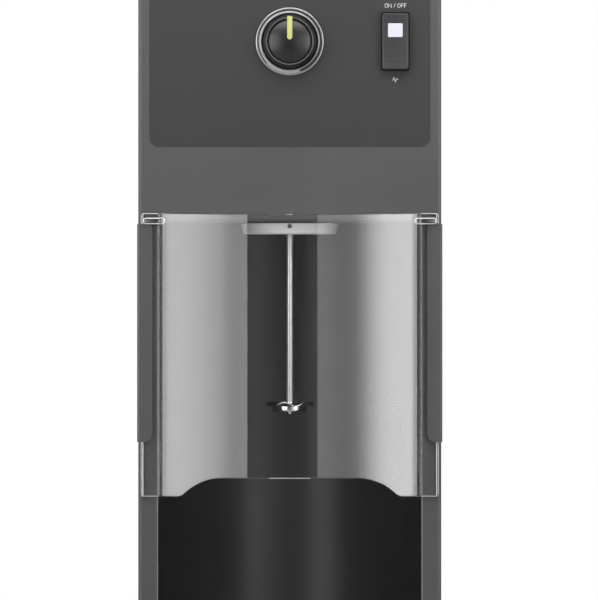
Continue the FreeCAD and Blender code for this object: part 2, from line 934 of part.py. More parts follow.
def pot_nut():
    """Nut and washer that clamp the potentiometer to the panel."""
    washer = rod_y(pot_nut_washer_radius, y_film - 0.8, y_film, 0, control_z)
    nut = hexagon_y(pot_nut_across, y_film - 2.8, y_film - 0.8, 0, control_z)
    hole = rod_y(pot_bushing_radius + 0.02, y_film - 5, y_film + 1, 0, control_z)
    return washer.fuse(nut).cut(hole)


def switch_housing():
    """Snap-in body with a thin frame on the panel and two cheeks that carry the pivot pin."""
    x, z = switch_offset, control_z
    half_w, half_h = switch_body_width / 2, switch_body_height / 2
    y_back = y_film + switch_body_depth
    body = block(x - half_w, x + half_w, y_film, y_back, z - half_h, z + half_h)
    frame_half_w, frame_half_h = switch_frame_width / 2, switch_frame_height / 2
    frame_corners = [
        (x - frame_half_w, z - frame_half_h, rocker_corner),
        (x + frame_half_w, z - frame_half_h, rocker_corner),
        (x + frame_half_w, z + frame_half_h, rocker_corner),
        (x - frame_half_w, z + frame_half_h, rocker_corner),
    ]
    frame = outline(frame_corners, in_front_view(y_film - switch_frame_rise)).extrude(
        Vector(0, switch_frame_rise, 0)
    )
    pocket = block(
        x - half_w + switch_wall,
        x + half_w - switch_wall,
        y_film - switch_frame_rise - 1,
        y_film + rocker_pivot_depth + 8,
        z - half_h + switch_wall,
        z + half_h - switch_wall,
    )
    pin_hole = Part.makeCylinder(
        pivot_pin_radius, switch_body_width + 2, Vector(x - half_w - 1, y_film + rocker_pivot_depth, z),
        Vector(1, 0, 0),
    )
    return body.fuse(frame).cut([pocket, pin_hole]).removeSplitter()


def switch_pin():
    x = switch_offset - switch_body_width / 2
    place = Vector(x, y_film + rocker_pivot_depth, control_z)
    return Part.makeCylinder(pivot_pin_radius, switch_body_width, place, Vector(1, 0, 0))


def switch_terminals():
    """Blade terminals out of the back of the switch."""
    y0 = y_film + switch_body_depth
    blades = []
    for i in range(terminal_count):
        z = control_z + (i - (terminal_count - 1) / 2) * terminal_pitch
        half = terminal_width / 2
        blades.append(
            block(
                switch_offset - half,
                switch_offset + half,
                y0,
                y0 + terminal_length,
                z - terminal_sheet / 2,
                z + terminal_sheet / 2,
            )
        )
    return Part.makeCompound(blades)


def switch_rocker():
    """Rocker over the frame: dished front, underside that rises to both ends, and a neck on the pin."""
    x, z = switch_offset, control_z
    half = rocker_height / 2
    y_end = y_film - switch_frame_rise - rocker_end_height
    y_mid = y_film - switch_frame_rise - rocker_middle_height
    y_under_end = y_film - switch_frame_rise - rocker_end_gap
    y_under_mid = y_film - switch_frame_rise - rocker_middle_gap
    neck_half = rocker_neck_height / 2
    corners = [
        (y_end, z - half, 1.2),
        (y_under_end, z - half, 0.6),
        (y_under_mid, z - neck_half, 0),
        (y_film + rocker_pivot_depth + 3.5, z - neck_half, 2),
        (y_film + rocker_pivot_depth + 3.5, z + neck_half, 2),
        (y_under_mid, z + neck_half, 0),
        (y_under_end, z + half, 0.6),
        (y_end, z + half, 1.2),
        (y_mid, z, 90.0),
    ]
    side = outline(corners, in_side_view(x - rocker_width / 2)).extrude(Vector(rocker_width, 0, 0))
    plan_corners = [
        (x - rocker_width / 2, z - half, rocker_corner),
        (x + rocker_width / 2, z - half, rocker_corner),
        (x + rocker_width / 2, z + half, rocker_corner),
        (x - rocker_width / 2, z + half, rocker_corner),
    ]
    mask = outline(plan_corners, in_front_view(y_end - 1)).extrude(Vector(0, 30, 0))
    neck_side = rocker_neck_width / 2
    y_neck = y_film - switch_frame_rise - rocker_middle_gap
    flanks = [
        block(x - rocker_width, x - neck_side, y_neck, y_neck + 20, z - half, z + half),
        block(x + neck_side, x + rocker_width, y_neck, y_neck + 20, z - half, z + half),
    ]
    seat = lens_block(fit_gap, y_end - 1, y_mid + lens_seat)
    pin = Part.makeCylinder(
        pivot_pin_radius + running_gap,
        rocker_width,
        Vector(x - rocker_width / 2, y_film + rocker_pivot_depth, z),
        Vector(1, 0, 0),
    )
    return side.common(mask).cut(flanks + [seat, pin])


def lens_block(grow, y0, y1):
    x, z = switch_offset, control_z + lens_rise
    half_w, half_h = lens_width / 2 + grow, lens_height / 2 + grow
    corners = [
        (x - half_w, z - half_h, 0.8),
        (x + half_w, z - half_h, 0.8),
        (x + half_w, z + half_h, 0.8),
        (x - half_w, z + half_h, 0.8),
    ]
    return outline(corners, in_front_view(y0)).extrude(Vector(0, y1 - y0, 0))


def switch_lens():
    y_mid = y_film - switch_frame_rise - rocker_middle_height
    y_surface = y_mid - (rocker_end_height - rocker_middle_height) * lens_rise / (rocker_height / 2)
    return lens_block(0, y_surface - lens_proud, y_mid + lens_seat)


def motor_plate():
    """Plate across the cabinet above the bay, with flanges turned up against both sides."""
    whole = inside_shell(0, plate_z, plate_top + plate_flange)
    x = inner_half - fit_gap - plate_sheet
    over = block(-x, x, y_front, y_rear, plate_top, plate_top + plate_flange)
    hole = rod_z(housing_body_radius + housing_gap, plate_z - 1, plate_top + 1, 0, y_axis)
    screw_holes = [
        rod_z(housing_screw_radius + 0.1, plate_z - 1, plate_top + 1, *p) for p in housing_screws_at()
    ]
    mount_holes = [rod_z(foot_screw_radius + 0.1, plate_z - 1, plate_top + 1, *p) for p in posts_at()]
    return whole.cut([over, hole] + screw_holes + mount_holes)


def round_places(count, radius, start=45.0):
    turns = [math.radians(start + 360.0 * i / count) for i in range(count)]
    return [(radius * math.cos(a), y_axis + radius * math.sin(a)) for a in turns]


def housing_screws_at():
    return round_places(4, housing_screw_circle)


def posts_at():
    return round_places(4, post_circle)


def housing_levels():
    """Heights of the housing's nose, lower bearing, middle web and upper bearing."""
    flange_low = plate_z - housing_flange
    nose = flange_low - housing_nose_length
    lower_bearing = plate_z - bearing_width
    top = plate_top + housing_body_length
    upper_bearing = top - 1.0 - bearing_width
    return flange_low, nose, lower_bearing, top, upper_bearing


def bearing_housing():
    """Turned housing bolted under the plate, with seats for two bearings and the shaft seal."""
    flange_low, nose, lower_bearing, top, upper_bearing = housing_levels()
    web = bearing_outer_radius - bearing_race
    body = turned_z(
        [
            (bearing_outer_radius, nose, 0),
            (housing_nose_radius, nose, 1.0),
            (housing_nose_radius, flange_low, 0),
            (housing_flange_radius, flange_low, 1.0),
            (housing_flange_radius, plate_z, 0),
            (housing_body_radius, plate_z, 0),
            (housing_body_radius, top, 1.0),
            (bearing_outer_radius, top, 0),
            (bearing_outer_radius, upper_bearing, 0),
            (web, upper_bearing, 0),
            (web, plate_z, 0),
            (bearing_outer_radius, plate_z, 0),
        ]
    )
    holes = [rod_z(housing_screw_radius, flange_low - 1, plate_z + 1, *p) for p in housing_screws_at()]
    return body.cut(holes)


def housing_screws():
    """Socket screws down through the plate into the housing's flange."""
    screws = []
    for x, y in housing_screws_at():
        shank = rod_z(housing_screw_radius - running_gap, plate_z - housing_flange, plate_top, x, y)
        head = rod_z(housing_screw_radius * 1.7, plate_top, plate_top + 5, x, y)
        socket = hexagon_z(4.0, plate_top + 2.5, plate_top + 6, x, y)
        screws.append(shank.fuse(head).cut(socket))
    return Part.makeCompound(screws)


def outer_race(z):
    """Outer race of a shielded bearing, its shields reaching in towards the inner race."""
    shield_radius = bearing_bore_radius + bearing_race + 0.1
    race = bearing_outer_radius - bearing_race
    return turned_z(
        [
            (shield_radius, z + 0.3, 0),
            (race, z + 0.3, 0),
            (race, z, 0),
            (bearing_outer_radius, z, 0.3),
            (bearing_outer_radius, z + bearing_width, 0.3),
            (race, z + bearing_width, 0),
            (race, z + bearing_width - 0.3, 0),
            (shield_radius, z + bearing_width - 0.3, 0),
        ]
    )


def inner_race(z):
    outside = rod_z(bearing_bore_radius + bearing_race, z, z + bearing_width, 0, y_axis)
    return outside.cut(rod_z(bearing_bore_radius, z - 1, z + bearing_width + 1, 0, y_axis))


def spindle_bearing_levels():
    flange_low, nose, lower_bearing, top, upper_bearing = housing_levels()
    return lower_bearing, upper_bearing


def shaft_seal():
    """Lip seal at the mouth of the housing."""
    nose = housing_levels()[1]
    inner = spindle_nose_radius + running_gap
    return turned_z(
        [
            (inner + 1.2, nose + 0.5, 0.5),
            (bearing_outer_radius, nose + 0.5, 0.4),
            (bearing_outer_radius, nose + 0.5 + seal_width, 0),
            (inner, nose + 0.5 + seal_width, 0),
            (inner, nose + 0.5 + seal_width / 2, 0),
        ]
    )


def spindle_low():
    return housing_levels()[1] - 4.5


def drive_spindle():
    """Spindle with a socketed nose for the agitator shaft and a journal for both bearings."""
    flange_low, nose, lower_bearing, top, upper_bearing = housing_levels()
    low = spindle_low()
    shoulder = low + spindle_nose_length
    body = turned_z(
        [
            (0, low, 0),
            (spindle_nose_radius, low, 0.8),
            (spindle_nose_radius, shoulder, 0),
            (bearing_bore_radius + bearing_race - 0.1, shoulder, 0),
            (bearing_bore_radius + bearing_race - 0.1, lower_bearing, 0),
            (bearing_bore_radius, lower_bearing, 0),
            (bearing_bore_radius, coupling_low() + coupling_hub - 1, 0.5),
            (0, coupling_low() + coupling_hub - 1, 0),
        ]
    )
    flat_y = spindle_nose_radius - 1.2
    flats = [
        block(-9, 9, y_axis + flat_y, y_axis + flat_y + 9, low - 1, low + 3),
        block(-9, 9, y_axis - flat_y - 9, y_axis - flat_y, low - 1, low + 3),
    ]
    return body.cut(flats + [rod_z(shaft_radius + running_gap, low - 1, shoulder, 0, y_axis)])


def agitator_levels():
    """Heights of the wavy disc, the button under it and the nut under that."""
    disc = bay_top - agitator_drop
    return disc, disc - agitator_sheet / 2 - button_height


def agitator_shaft():
    low = agitator_levels()[1]
    high = spindle_low() + spindle_nose_length - 0.5
    return rod_z(shaft_radius, low, high, 0, y_axis)


def wavy_edge(radius, z, wave):
    """Closed curve round the spindle that rises and falls once for each wave."""
    count = agitator_waves * 8
    points = []
    for i in range(count):
        turn = 2 * math.pi * i / count
        height = z + wave * math.sin(agitator_waves * turn)
        points.append(Vector(radius * math.cos(turn), y_axis + radius * math.sin(turn), height))
    curve = Part.BSplineCurve()
    curve.interpolate(points, PeriodicFlag=True)
    return curve.toShape()


def agitator_disc():
    """Pressed disc whose rim waves up and down to fold air into the drink."""
    z = agitator_levels()[0]
    half = agitator_sheet / 2
    rim_up = wavy_edge(agitator_radius, z + half, agitator_wave)
    rim_down = wavy_edge(agitator_radius, z - half, agitator_wave)
    root_up = wavy_edge(agitator_flat_radius, z + half, 0)
    root_down = wavy_edge(agitator_flat_radius, z - half, 0)
    bore_up = wavy_edge(shaft_radius + running_gap, z + half, 0)
    bore_down = wavy_edge(shaft_radius + running_gap, z - half, 0)
    rings = [rim_down, rim_up, root_up, bore_up, bore_down, root_down]
    faces = [Part.makeRuledSurface(a, b).Face1 for a, b in zip(rings, rings[1:] + rings[:1])]
    shell = Part.Shell(faces)
    solid = Part.Solid(shell)
    if solid.Volume < 0:
        solid.reverse()
    return solid


def agitator_button():
    """Solid rounded button under the disc, its top coned to clear the disc's waves."""
    disc, low = agitator_levels()
    top = disc - agitator_sheet / 2
    reach = (button_radius - agitator_flat_radius) / (agitator_radius - agitator_flat_radius)
    edge = top - agitator_wave * reach - running_gap
    return turned_z(
        [
            (shaft_radius + running_gap, low, 0),
            (button_radius, low, button_rounding),
            (button_radius, edge, 0.6),
            (agitator_flat_radius, top, 0),
            (shaft_radius + running_gap, top, 0),
        ]
    )


def agitator_nut():
    """Domed nut screwed into the shaft's lower end, and the collar nut above the disc."""
    disc, low = agitator_levels()
    dome = turned_z(
        [
            (0, low - tip_nut_height, 0),
            (tip_nut_radius, low - tip_nut_height, tip_nut_height - 0.2),
            (tip_nut_radius, low, 0),
            (0, low, 0),
        ]
    )
    top = disc + agitator_sheet / 2
    upper = turned_z(
        [
            (shaft_radius + running_gap, top, 0),
            (upper_nut_radius, top, 0),
            (upper_nut_radius, top + upper_nut_height, 0.3),
            (shaft_radius + running_gap, top + upper_nut_height, 0),
        ]
    )
    return Part.makeCompound([dome, upper])


def collar_levels():
    low = bay_top - collar_drop
    return low, low + collar_height


def splash_collar():
    """Shallow dish clamped on the shaft under the ceiling, with a screw through its rim."""
    low, top = collar_levels()
    inner = shaft_radius + running_gap
    dish = turned_z(
        [
            (inner, low, 0),
            (collar_foot_radius, low, collar_rounding),
            (collar_radius, top, 0.8),
            (collar_radius - collar_wall, top, 0.8),
            (collar_foot_radius - collar_wall, low + collar_wall, 1.0),
            (collar_hub_radius, low + collar_wall, 0.5),
            (collar_hub_radius, top, 0.5),
            (inner, top, 0),
        ]
    )
    hole = rod_y(
        set_screw_radius, y_axis - collar_radius - 1, y_axis, 0, top - set_screw_radius - set_screw_edge
    )
    return dish.cut(hole)


def collar_screw():
    """Long set screw from the collar's rim to the shaft, with a hexagon socket."""
    low, top = collar_levels()
    z = top - set_screw_radius - set_screw_edge
    y0 = y_axis - collar_radius + 0.6
    screw = rod_y(set_screw_radius - running_gap, y0, y_axis - shaft_radius - running_gap, 0, z)
    return screw.cut(hexagon_y(1.8, y0 - 1, y0 + 2, 0, z))


def coupling_low():
    return housing_levels()[3] + coupling_lift


def jaw(start, low, high):
    """Sector-shaped jaw of the coupling, starting at an angle in degrees."""
    inner = coupling_radius * 0.45
    arc = outline(
        [
            (inner, low, 0),
            (coupling_radius, low, 0),
            (coupling_radius, high, 0),
            (inner, high, 0),
        ],
        lambda r, z: Vector(r, y_axis, z),
    )
    sector = arc.revolve(Vector(0, y_axis, 0), Vector(0, 0, 1), coupling_jaw_angle)
    return sector.rotate(Vector(0, y_axis, 0), Vector(0, 0, 1), start - coupling_jaw_angle / 2)


def coupling_half(hub_low, hub_high, jaw_low, jaw_high, first):
    """Coupling hub with three jaws."""
    hub = rod_z(coupling_radius, hub_low, hub_high, 0, y_axis)
    jaws = [jaw(first + 120 * i, jaw_low, jaw_high) for i in range(3)]
    bore = rod_z(bearing_bore_radius, hub_low - 9, hub_high + 9, 0, y_axis)
    return hub.fuse(jaws).cut(bore).removeSplitter()


def lower_coupling():
    low = coupling_low()
    face = low + coupling_hub
    return coupling_half(low, face, face, face + coupling_jaw, 0)


def upper_coupling():
    face = coupling_low() + coupling_hub + coupling_jaw + coupling_gap
    return coupling_half(face, face + coupling_hub, face - coupling_jaw, face, 60)


def coupling_spider():
    """Elastic star that fills the spaces between the jaws of both hubs."""
    low = coupling_low() + coupling_hub
    high = low + coupling_jaw + coupling_gap
    star = rod_z(coupling_radius - 0.8, low, high, 0, y_axis)
    star = star.cut(rod_z(bearing_bore_radius + 0.6, low - 1, high + 1, 0, y_axis))
    return star.cut([jaw(60 * i, low - 1, high + 1) for i in range(6)])


def isolators():
    """Rubber mounts between the plate and the motor's posts."""
    mounts = []
    for x, y in posts_at():
        waist = isolator_radius - 1.6
        middle = plate_top + isolator_height / 2
        mounts.append(
            turned_z(
                [
                    (foot_screw_radius + 0.1, plate_top, 0),
                    (isolator_radius, plate_top, 0.5),
                    (isolator_radius, plate_top + 2, 0.5),
                    (waist, middle, 0.5),
                    (isolator_radius, plate_top + isolator_height - 2, 0.5),
                    (isolator_radius, plate_top + isolator_height, 0.5),
                    (foot_screw_radius + 0.1, plate_top + isolator_height, 0),
                ],
                x,
                y,
            )
        )
    return Part.makeCompound(mounts)


def motor_posts():
    posts = []
    for x, y in posts_at():
        post = rod_z(post_radius, plate_top + isolator_height, motor_z, x, y)
        stud = rod_z(foot_screw_radius, plate_z - 4, plate_top + isolator_height, x, y)
        nut = hexagon_z(7.0, plate_z - 3.2, plate_z, x, y)
        posts.append(post.fuse([stud, nut]))
    return Part.makeCompound(posts)


def bell_cut_outs(z0):
    """Windows round a motor bell for its cooling air."""
    cuts = []
    for i in range(bell_windows):
        window = block(-window_width / 2, window_width / 2, 0, motor_radius + 5, z0, z0 + window_height)
        window.translate(Vector(0, y_axis, 0))
        window.rotate(Vector(0, y_axis, 0), Vector(0, 0, 1), 360.0 * i / bell_windows + 30)
        cuts.append(window)
    return cuts


def bell_ears(z0, z1):
    ears = []
    for i, (x, y) in enumerate(posts_at()):
        arm = block(0, post_circle, -6, 6, z0, z1)
        arm.translate(Vector(0, y_axis, 0))
        arm.rotate(Vector(0, y_axis, 0), Vector(0, 0, 1), 45.0 + 90 * i)
        ears += [rod_z(post_radius + 1.5, z0, z1, x, y), arm]
    return ears


def motor_levels():
    field_low = motor_z + lower_bell_height
    field_high = field_low + field_height
    return field_low, field_high, field_high + upper_bell_height


def lower_bell():
    """Drive-end bell: cup with a bearing seat, air windows and four ears on the posts."""
    low, high = motor_z, motor_levels()[0]
    cup = turned_z(
        [
            (bearing_outer_radius, low, 0),
            (motor_radius, low, 2),
            (motor_radius, high, 0),
            (motor_radius - motor_wall, high, 0),
            (motor_radius - motor_wall, low + motor_wall, 1),
            (bearing_outer_radius + 3, low + motor_wall, 0),
            (bearing_outer_radius + 3, low + bearing_width + 1, 0.5),
            (bearing_outer_radius, low + bearing_width + 1, 0),
        ]
    )
    flange = bell_ears(low, low + motor_wall + 1)
    ears = flange[0].fuse(flange[1:]).cut(rod_z(motor_radius - 1, low - 1, high, 0, y_axis))
    return cup.cut(bell_cut_outs(low + motor_wall + 2)).fuse(ears)


def upper_bell():
    """Brush-end bell: cup with a bearing seat and air windows."""
    low, high = motor_levels()[1:]
    cup = turned_z(
        [
            (motor_radius - motor_wall, low, 0),
            (motor_radius, low, 0),
            (motor_radius, high, 4),
            (bearing_outer_radius, high, 0),
            (bearing_outer_radius, high - bearing_width - 1, 0),
            (bearing_outer_radius + 3, high - bearing_width - 1, 0.5),
            (bearing_outer_radius + 3, high - motor_wall, 0),
            (motor_radius - motor_wall, high - motor_wall, 2),
        ]
    )
    return cup.cut(bell_cut_outs(high - motor_wall - window_height - 2) + brush_channels(0))


def brush_channels(shrink):
    """Square channels on both sides of the commutator, for the brush holders."""
    half = brush_width / 2 + brush_holder_wall - shrink
    z = brush_height()
    x0, x1 = commutator_radius + 3, motor_radius + 2
    channel = block(x0, x1, y_axis - half, y_axis + half, z - half, z + half)
    return [channel, mirrored(channel)]


def brush_height():
    return motor_levels()[1] + 8 + commutator_length / 2


def brush_holders():
    """Brass tubes through the upper bell that guide the brushes."""
    half = brush_width / 2
    z = brush_height()
    bore = block(0, motor_radius + 1, y_axis - half, y_axis + half, z - half, z + half)
    return both_sides(brush_channels(0)[0].cut(bore))


def carbon_brushes():
    half = brush_width / 2 - running_gap
    z = brush_height()
    x0 = commutator_radius + running_gap
    brush = block(x0, x0 + 20, y_axis - half, y_axis + half, z - half, z + half)
    return both_sides(brush)


def motor_field():
    """Laminated field ring with two wound coils."""
    low, high = motor_levels()[:2]
    ring = rod_z(motor_radius, low, high, 0, y_axis).cut(
        rod_z(field_bore_radius, low - 1, high + 1, 0, y_axis)
    )
    half = coil_width / 2 + coil_gap
    gap = block(-motor_radius, motor_radius, -half, half, low - 1, high + 1)
    gap.translate(Vector(0, y_axis, 0))
    slot = rod_z(motor_radius - coil_backing + coil_gap / 2, low - 1, high + 1, 0, y_axis).common(gap)
    return ring.cut(slot)


def field_coils():
    """Coils in the field's side slots, their ends turned over the stack."""
    low, high = motor_levels()[:2]
    x0, x1 = field_bore_radius + coil_gap, motor_radius - coil_backing
    y0, y1 = y_axis - coil_width / 2, y_axis + coil_width / 2
    coil = block(x0, x1, y0, y1, low - coil_overhang, high + coil_overhang)
    return both_sides(coil.makeFillet(1.5, coil.Edges))


def armature():
    """Slotted armature stack on the motor shaft."""
    low, high = motor_levels()[:2]
    radius = field_bore_radius - air_gap
    stack = rod_z(radius, low + 2, high - 2, 0, y_axis)
    slots = []
    for i in range(armature_slots):
        slot = block(
            radius - armature_slot_depth,
            radius + 1,
            -armature_slot_width / 2,
            armature_slot_width / 2,
            low,
            high,
        )
        slot.translate(Vector(0, y_axis, 0))
        slot.rotate(Vector(0, y_axis, 0), Vector(0, 0, 1), 360.0 * i / armature_slots)
        slots.append(slot)
    return stack.cut(slots + [rod_z(bearing_bore_radius, low - 1, high + 1, 0, y_axis)])


def commutator():
    z = brush_height()
    half = commutator_length / 2
    drum = rod_z(commutator_radius, z - half, z + half, 0, y_axis)
    return drum.cut(rod_z(bearing_bore_radius, z - half - 1, z + half + 1, 0, y_axis))


def motor_fan():
    """Fan disc with radial blades, inside the lower bell."""
    low = motor_z + bearing_width + 3
    disc = rod_z(fan_radius, low, low + fan_sheet, 0, y_axis)
    hub = rod_z(bearing_bore_radius + 4, low, low + fan_height, 0, y_axis)
    blades = []
    for i in range(fan_blades):
        half = fan_sheet / 2
        blade = block(bearing_bore_radius + 3, fan_radius, -half, half, low, low + fan_height)
        blade.translate(Vector(0, y_axis, 0))
        blade.rotate(Vector(0, y_axis, 0), Vector(0, 0, 1), 360.0 * i / fan_blades)
        blades.append(blade)
    bore = rod_z(bearing_bore_radius, low - 1, low + fan_height + 1, 0, y_axis)
    return disc.fuse([hub] + blades).cut(bore).removeSplitter()


def motor_shaft():
    low = coupling_low() + coupling_hub + coupling_jaw + coupling_gap + 1
    return rod_z(bearing_bore_radius, low, motor_levels()[2], 0, y_axis)


def motor_bearing_levels():
    return motor_z + 0.5, motor_levels()[2] - bearing_width - 0.5


def board_places():
    x0 = inner_half - plate_sheet - board_width - board_side_gap
    y0 = y_axis - board_length / 2 + board_shift
    return x0, x0 + board_width, y0, y0 + board_length, plate_top + board_rise


def control_board():
    """Speed control board on the right of the motor plate, with its larger parts."""
    x0, x1, y0, y1, z = board_places()
    board = block(x0, x1, y0, y1, z, z + board_sheet)
    top = z + board_sheet
    x_back, y_sink = x0 + 2 * heat_sink_back, y0 + heat_sink_reach
    z_sink = top + heat_sink_height
    sink = block(x0 + heat_sink_back, x_back, y_sink, y_sink + heat_sink_length, top, z_sink)
    fins = []
    for i in range(heat_sink_fins):
        y_fin = y_sink + heat_sink_pitch * i
        fins.append(block(x_back, x_back + heat_sink_reach, y_fin, y_fin + heat_sink_fin, top, z_sink))
    capacitor = rod_z(7, top, top + 22, x1 - 11, y0 + 18)
    relay = block(x1 - 20, x1 - 5, y0 + 36, y0 + 56, top, top + 15)
    plug = block(x0 + 8, x1 - 8, y1 - 16, y1 - 6, top, top + 9)
    return board.fuse([sink] + fins + [capacitor, relay, plug])


def board_standoffs():
    x0, x1, y0, y1, z = board_places()
    return Part.makeCompound(
        [
            hexagon_z(2 * standoff_radius, plate_top, z, x, y)
            for x in (x0 + board_margin, x1 - board_margin)
            for y in (y0 + board_margin, y1 - board_margin)
        ]
    )


def cord_gland():
    """Gland through the rear cover: threaded body, ribbed cap outside and a bore for the cord."""
    x, z = -gland_offset, plate_top + gland_rise
    y_in = y_cover - gland_nut_length - 3
    body = turned_y(
        [
            (gland_bore_radius, y_in, 0),
            (gland_thread_radius, y_in, 0.6),
            (gland_thread_radius, y_rear, 0),
            (gland_nut_radius, y_rear, 0),
            (gland_nut_radius, y_rear + gland_cap_length * 0.55, 0.8),
            (gland_bore_radius + 2.2, y_rear + gland_cap_length, 1.0),
            (gland_bore_radius, y_rear + gland_cap_length, 0),
        ],
        x,
        z,
    )
    grooves = []
    for i in range(12):
        turn = math.radians(30 * i)
        gx, gz = x + gland_nut_radius * math.cos(turn), z + gland_nut_radius * math.sin(turn)
        grooves.append(rod_y(0.9, y_rear + 1, y_rear + gland_cap_length, gx, gz))
    return body.cut(grooves)


def gland_nut():
    """Lock nut of the gland, inside the rear cover."""
    x, z = -gland_offset, plate_top + gland_rise
    nut = hexagon_y(19.0, y_cover - gland_nut_length, y_cover, x, z)
    return nut.cut(rod_y(gland_thread_radius, y_cover - 20, y_cover + 1, x, z))


def build():
    low_race, high_race = spindle_bearing_levels()
    low_motor, high_motor = motor_bearing_levels()
    guide = right_guide()
    pieces = {
        "cabinet_shell": cabinet_shell(),
        "top_cap": top_cap(),
        "rear_cover": rear_cover(),
        "rear_cover_screws": rear_cover_screws(),
        "base_pan": base_pan(),
        "foot_screws": foot_screws(),
        "bay_floor": bay_floor(),
        "bay_liner": bay_liner(),
        "drip_tray": drip_tray(),
        "drip_grille": drip_grille(),
        "splash_shield": splash_shield(),
        "shield_guide_right": guide,
        "shield_guide_left": mirrored(guide),
        "control_panel": control_panel(),
        "knob_bezel": knob_bezel(),
        "speed_knob": speed_knob(),
        "knob_pointer": knob_pointer(),
        "potentiometer": potentiometer(),
        "potentiometer_shaft": pot_shaft(),
        "potentiometer_nut": pot_nut(),
        "switch_housing": switch_housing(),
        "switch_pin": switch_pin(),
        "switch_terminals": switch_terminals(),
        "switch_rocker": switch_rocker(),
        "switch_lens": switch_lens(),
        "motor_plate": motor_plate(),
        "bearing_housing": bearing_housing(),
        "bearing_housing_screws": housing_screws(),
        "spindle_bearing_outer_races": Part.makeCompound([outer_race(low_race), outer_race(high_race)]),
        "spindle_bearing_inner_races": Part.makeCompound([inner_race(low_race), inner_race(high_race)]),
        "shaft_seal": shaft_seal(),
        "drive_spindle": drive_spindle(),
        "agitator_shaft": agitator_shaft(),
        "agitator_disc": agitator_disc(),
        "agitator_button": agitator_button(),
        "agitator_nuts": agitator_nut(),
        "splash_collar": splash_collar(),
        "collar_screw": collar_screw(),
        "lower_coupling_hub": lower_coupling(),
        "upper_coupling_hub": upper_coupling(),
        "coupling_spider": coupling_spider(),
        "motor_isolators": isolators(),
        "motor_posts": motor_posts(),
        "motor_lower_bell": lower_bell(),
        "motor_upper_bell": upper_bell(),
        "motor_field": motor_field(),
        "field_coils": field_coils(),
        "brush_holders": brush_holders(),
        "carbon_brushes": carbon_brushes(),
        "armature": armature(),
        "commutator": commutator(),
        "motor_fan": motor_fan(),
        "motor_shaft": motor_shaft(),
        "motor_bearing_outer_races": Part.makeCompound([outer_race(low_motor), outer_race(high_motor)]),
        "motor_bearing_inner_races": Part.makeCompound([inner_race(low_motor), inner_race(high_motor)]),
        "control_board": control_board(),
        "board_standoffs": board_standoffs(),
        "cord_gland": cord_gland(),
        "gland_nut": gland_nut(),
        "rubber_feet": Part.makeCompound([rubber_foot(x, y) for x, y in foot_places()]),
    }
    return pieces


os.makedirs("parts", exist_ok=True)
for name, shape in build().items():
    if not shape.isValid():
        print("not valid:", name)
    if any(not s.isClosed() for s in shape.Shells):
        print("not closed:", name)
    shape.exportStep("parts/" + name + ".step")
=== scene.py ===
import math

import bmesh
import bpy
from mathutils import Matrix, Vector


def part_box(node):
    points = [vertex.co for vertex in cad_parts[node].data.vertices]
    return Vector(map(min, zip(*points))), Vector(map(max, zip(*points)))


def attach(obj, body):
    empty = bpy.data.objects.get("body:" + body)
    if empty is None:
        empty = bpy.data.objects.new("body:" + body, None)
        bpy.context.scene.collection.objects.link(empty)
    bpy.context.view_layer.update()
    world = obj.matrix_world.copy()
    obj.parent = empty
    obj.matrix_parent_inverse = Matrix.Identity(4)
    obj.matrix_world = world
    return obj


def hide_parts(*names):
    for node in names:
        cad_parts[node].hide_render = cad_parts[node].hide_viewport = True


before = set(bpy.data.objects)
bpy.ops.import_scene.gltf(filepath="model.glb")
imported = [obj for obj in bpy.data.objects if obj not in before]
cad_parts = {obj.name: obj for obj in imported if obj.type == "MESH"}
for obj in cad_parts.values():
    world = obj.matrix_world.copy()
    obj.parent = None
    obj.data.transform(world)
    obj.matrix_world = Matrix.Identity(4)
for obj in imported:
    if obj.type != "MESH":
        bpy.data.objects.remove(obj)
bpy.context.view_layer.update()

# Studio. A very long lens looks level at the head and the cup bay, as the photograph's does. Two
# wide soft boxes, each with a fall-off, wrap round the front, and weaker ones light the sides, the
# back and the top.
MM = 0.001


def corners_of(node):
    """Lowest and highest corner of a CAD piece at rest, in millimetres."""
    return [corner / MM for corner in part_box(node)]


photo_width, photo_height = 598, 600
cabinet_width_in_photo = 303.0
middle_column, bay_top_row, bay_top_height = 289.75, 223.0, 512.0
shell_low, shell_high = corners_of("cabinet_shell")
front_y = shell_low.y
pixel = (shell_high.x - shell_low.x) / cabinet_width_in_photo
lens_stand_off = 10000.0
aim_x = (photo_width / 2 - middle_column) * pixel
aim_z = bay_top_height + (bay_top_row - photo_height / 2) * pixel
scene = bpy.context.scene
scene.view_settings.view_transform = "Standard"


def aim(obj, spot):
    """Turns a camera or a lamp to look at a spot."""
    obj.rotation_euler = (Vector(spot) * MM - obj.location).to_track_quat("-Z", "Y").to_euler()


camera_data = bpy.data.cameras.new("long_lens")
camera = bpy.data.objects.new("long_lens", camera_data)
scene.collection.objects.link(camera)
camera.location = Vector((aim_x, front_y - lens_stand_off, aim_z)) * MM
aim(camera, (aim_x, front_y, aim_z))
camera_data.sensor_fit = "HORIZONTAL"
camera_data.sensor_width = 36.0
camera_data.lens = camera_data.sensor_width * lens_stand_off / (photo_width * pixel)
camera_data.clip_end = 60.0
scene.camera = camera


def hung_lamp(name, width, height, spot, target):
    """Rectangular area lamp at a spot, turned to a target and not seen by the camera."""
    lamp = bpy.data.lights.new(name, "AREA")
    lamp.shape = "RECTANGLE"
    lamp.size, lamp.size_y = width * MM, height * MM
    box = bpy.data.objects.new(name, lamp)
    scene.collection.objects.link(box)
    box.location = Vector(spot) * MM
    box.visible_camera = False
    aim(box, target)
    return lamp


